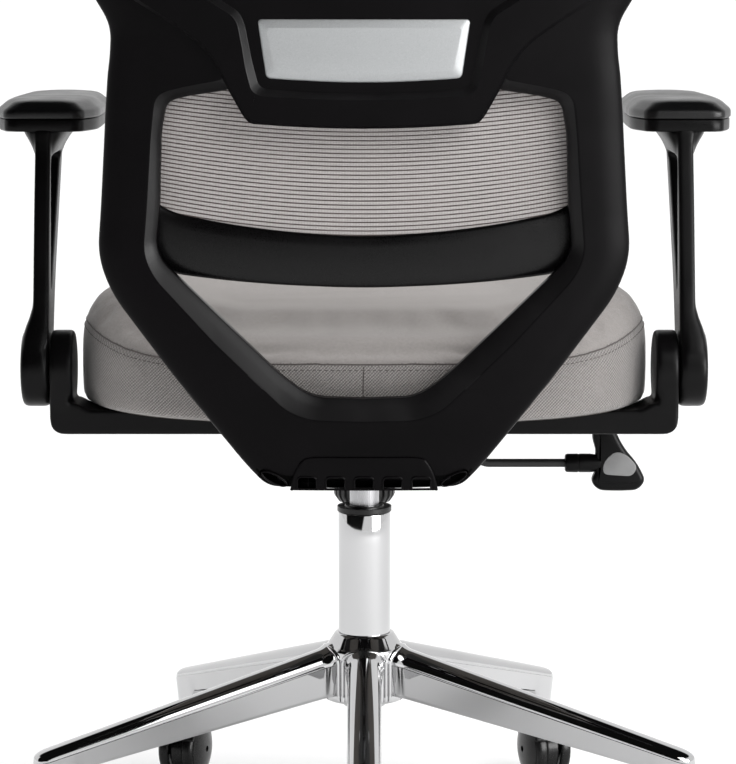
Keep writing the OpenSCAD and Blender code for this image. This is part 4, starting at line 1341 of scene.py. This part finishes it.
def seat_cushion():
    """The padded seat: top panel inside the seam, side panel below it."""
    rows = []
    for d, z in SEAT_SECTION:
        rows.append([shrunk(x, y, risen(x, y, z), SHRINK) for x, y in seat_plan(d)])
    obj = rough("seat_start", *solid(rows))
    remesh = obj.modifiers.new("even", "REMESH")
    remesh.mode = "VOXEL"
    remesh.voxel_size = fineness(6) * MM
    applied(obj)
    swell(obj)
    finer = obj.modifiers.new("finer", "SUBSURF")
    finer.levels = finer.render_levels = 1
    applied(obj)
    press_seam(obj)
    obj.name = "seat_pad"
    dress(obj, [SEAT_TOP, SEAT_SIDE_SHADED], "seat", "seat_fabric", "seat_cushion", 180)
    # The side panel gets the darker cloth, which carries painted shade on the upright sides.
    for p in obj.data.polygons:
        x, y, z = p.center / MM
        p.material_index = 0 if z > seam_z(x, y) - 0.5 else 1
    seat_seams(obj)


def seat_seams(obj):
    """Thread in the seam and up the rear, and a row of stitches below the seam, all lying on the skin."""
    bm = bmesh.new()
    bm.from_mesh(obj.data)
    skin = BVHTree.FromBMesh(bm)
    bm.free()

    def on_skin(p, out):
        """The nearest point of the seat's skin, and that far out from it."""
        place, way, _, _ = skin.find_nearest(Vector(p) * MM)
        return tuple((place + way * out * MM) / MM)

    border = [on_skin((x, y, seam_z(x, y)), 0.1) for x, y in seat_plan(SEAM_IN, 420)]
    solids = [tube(border, 0.75, 6, True)]
    middle = [on_skin((0.0, SEAT_REAR + 2, z), 0.1) for z in np.linspace(439, SEAM_Z, 24)]
    solids.append(tube(middle, 0.6, 6))
    shown("seat_seam", *joined(solids), THREAD, "seat", "seat_fabric", (), 60)
    line = [on_skin((x, y, seam_z(x, y) - 5.6), 0.25) for x, y in seat_plan(1.6, 1300)]
    stitches = [tube(line[i:i + 3], 0.42, 5) for i in range(0, len(line) - 3, 4)]
    shown("seat_stitches", *joined(stitches), THREAD, "seat", "seat_fabric", (), 60)


# ---------- CAD pieces that are kept: softened edges and finishes ----------
def kept(names, material, width):
    """Gives CAD pieces a material and, unless the width is 0, softened edges of that width."""
    for name in names:
        for obj in [o for o in bpy.data.objects if o.type == "MESH" and o.name.split(".")[0] == name]:
            obj.data.materials.clear()
            obj.data.materials.append(material)
            shade(obj, 32)
            if width:
                edge = obj.modifiers.new("edge", "BEVEL")
                edge.width = width * MM
                edge.segments = 2
                edge.limit_method = "ANGLE"
                edge.angle_limit = math.radians(40)
                edge.use_clamp_overlap = True
                edge.harden_normals = True


rear_frame()
tongue()
foot_pad()
centre_brace()
plaque()
mesh_frame()
mesh_sheet()
star_base()
casters()
gas_lift()
knob()
lever_handle()
armrests()
seat_cushion()
kept(["mechanism_housing", "tilt_plate", "tilt_lock_bar"], POWDER, 0.8)
kept(["seat_pan"], BOARD, 1.0)
kept(["lever_rod"], POWDER, 0)
kept(["caster_stems", "thrust_bearing", "piston_rod", "retaining_clip", "release_button", "tilt_pivot_pin",
      "tension_screw", "seat_bolts", "back_bolts", "hoop_screws", "arm_pin_left", "arm_pin_right"], STEEL,
      0.4)
kept(["caster_axle_%d" % k for k in range(1, 6)], STEEL, 0.4)
kept(["tilt_spring"], BRIGHT_STEEL, 0)


# ---------- stage, light and camera ----------
def backdrop():
    """Pale floor, wide enough to reach the horizon."""
    side, front, rear = 60.0, -80.0, 20.0
    verts = [(-side, front, 0.0), (side, front, 0.0), (side, rear, 0.0), (-side, rear, 0.0)]
    mesh = bpy.data.meshes.new("studio_floor")
    mesh.from_pydata(verts, [], [(0, 1, 2, 3)])
    m, tree, shader = new_material("pale_floor", (0.92, 0.92, 0.92), 0.9, Specular_IOR_Level=0.1)
    cloudy = noise(tree, 0.4, 2.0)
    feed(shader, "Base Color", mixed(tree, cloudy, (0.91, 0.91, 0.912), (0.93, 0.93, 0.93)))
    mesh.materials.append(m)
    linked("studio_floor", mesh)


def lamp(name, place, target, size, power):
    """A rectangular area light that faces its target and isn't seen itself."""
    light = bpy.data.lights.new(name, "AREA")
    light.shape = "RECTANGLE"
    light.size, light.size_y = size
    light.energy = power
    obj = linked(name, light)
    obj.location = place
    obj.rotation_euler = (Vector(target) - Vector(place)).to_track_quat("-Z", "Y").to_euler()
    obj.visible_camera = False
    return obj


def studio():
    """World, a soft sun from above, and two lamps for the lights on black plastic."""
    world = bpy.data.worlds.new("studio")
    bpy.context.scene.world = world
    world.use_nodes = True
    tree = world.node_tree
    way = add(tree, "ShaderNodeTexCoord").outputs["Generated"]
    way = add(tree, "ShaderNodeSeparateXYZ", {"Vector": way})
    x, y, z = (way.outputs[i] for i in range(3))
    # white all round at the horizon; higher up it is white behind the chair and on the camera's right
    front = between(tree, y, -0.1, 0.35)
    limit_front = maths(tree, "MULTIPLY_ADD", x, -0.85, 0.11)
    limit = maths(tree, "ADD", maths(tree, "MULTIPLY", front, limit_front),
                  maths(tree, "MULTIPLY", maths(tree, "SUBTRACT", 1.0, front), 0.62))
    over = maths(tree, "SUBTRACT", z, limit)
    white = between(tree, over, 0.0, 0.07, 1.0, 0.006)
    back = tree.nodes["Background"]
    tree.links.new(white, back.inputs["Strength"])
    back.inputs["Color"].default_value = (1, 1, 1, 1)
    sun = bpy.data.lights.new("sky_light", "SUN")
    sun.energy = 2.9
    sun.angle = math.radians(70)
    above = linked("sky_light", sun)
    above.rotation_euler = (math.radians(12), math.radians(-8), 0)
    above.visible_glossy = False
    lamp("key_light", (-1.9, 2.5, 2.5), (0, 0, 0.4), (2.6, 2.2), 60)
    card = lamp("gloss_card", (-2.6, 1.9, 0.9), (0, 0.2, 0.6), (2.2, 1.4), 116)
    card.visible_diffuse = False


CAMERA_AT = (-0.0035, 3.0, 0.85)
CAMERA_DOWN = 7.7      # degrees that the camera looks down


def camera():
    """The camera behind the chair, as solved from the photograph."""
    data = bpy.data.cameras.new("camera")
    data.lens = 149.4
    data.sensor_width = 36
    data.clip_end = 100
    obj = linked("camera", data)
    obj.location = CAMERA_AT
    obj.rotation_euler = (math.radians(90 - CAMERA_DOWN), 0, math.radians(180))
    bpy.context.scene.camera = obj


backdrop()
studio()
camera()
bpy.context.scene.view_settings.view_transform = "Standard"
bpy.context.scene.view_settings.look = "None"
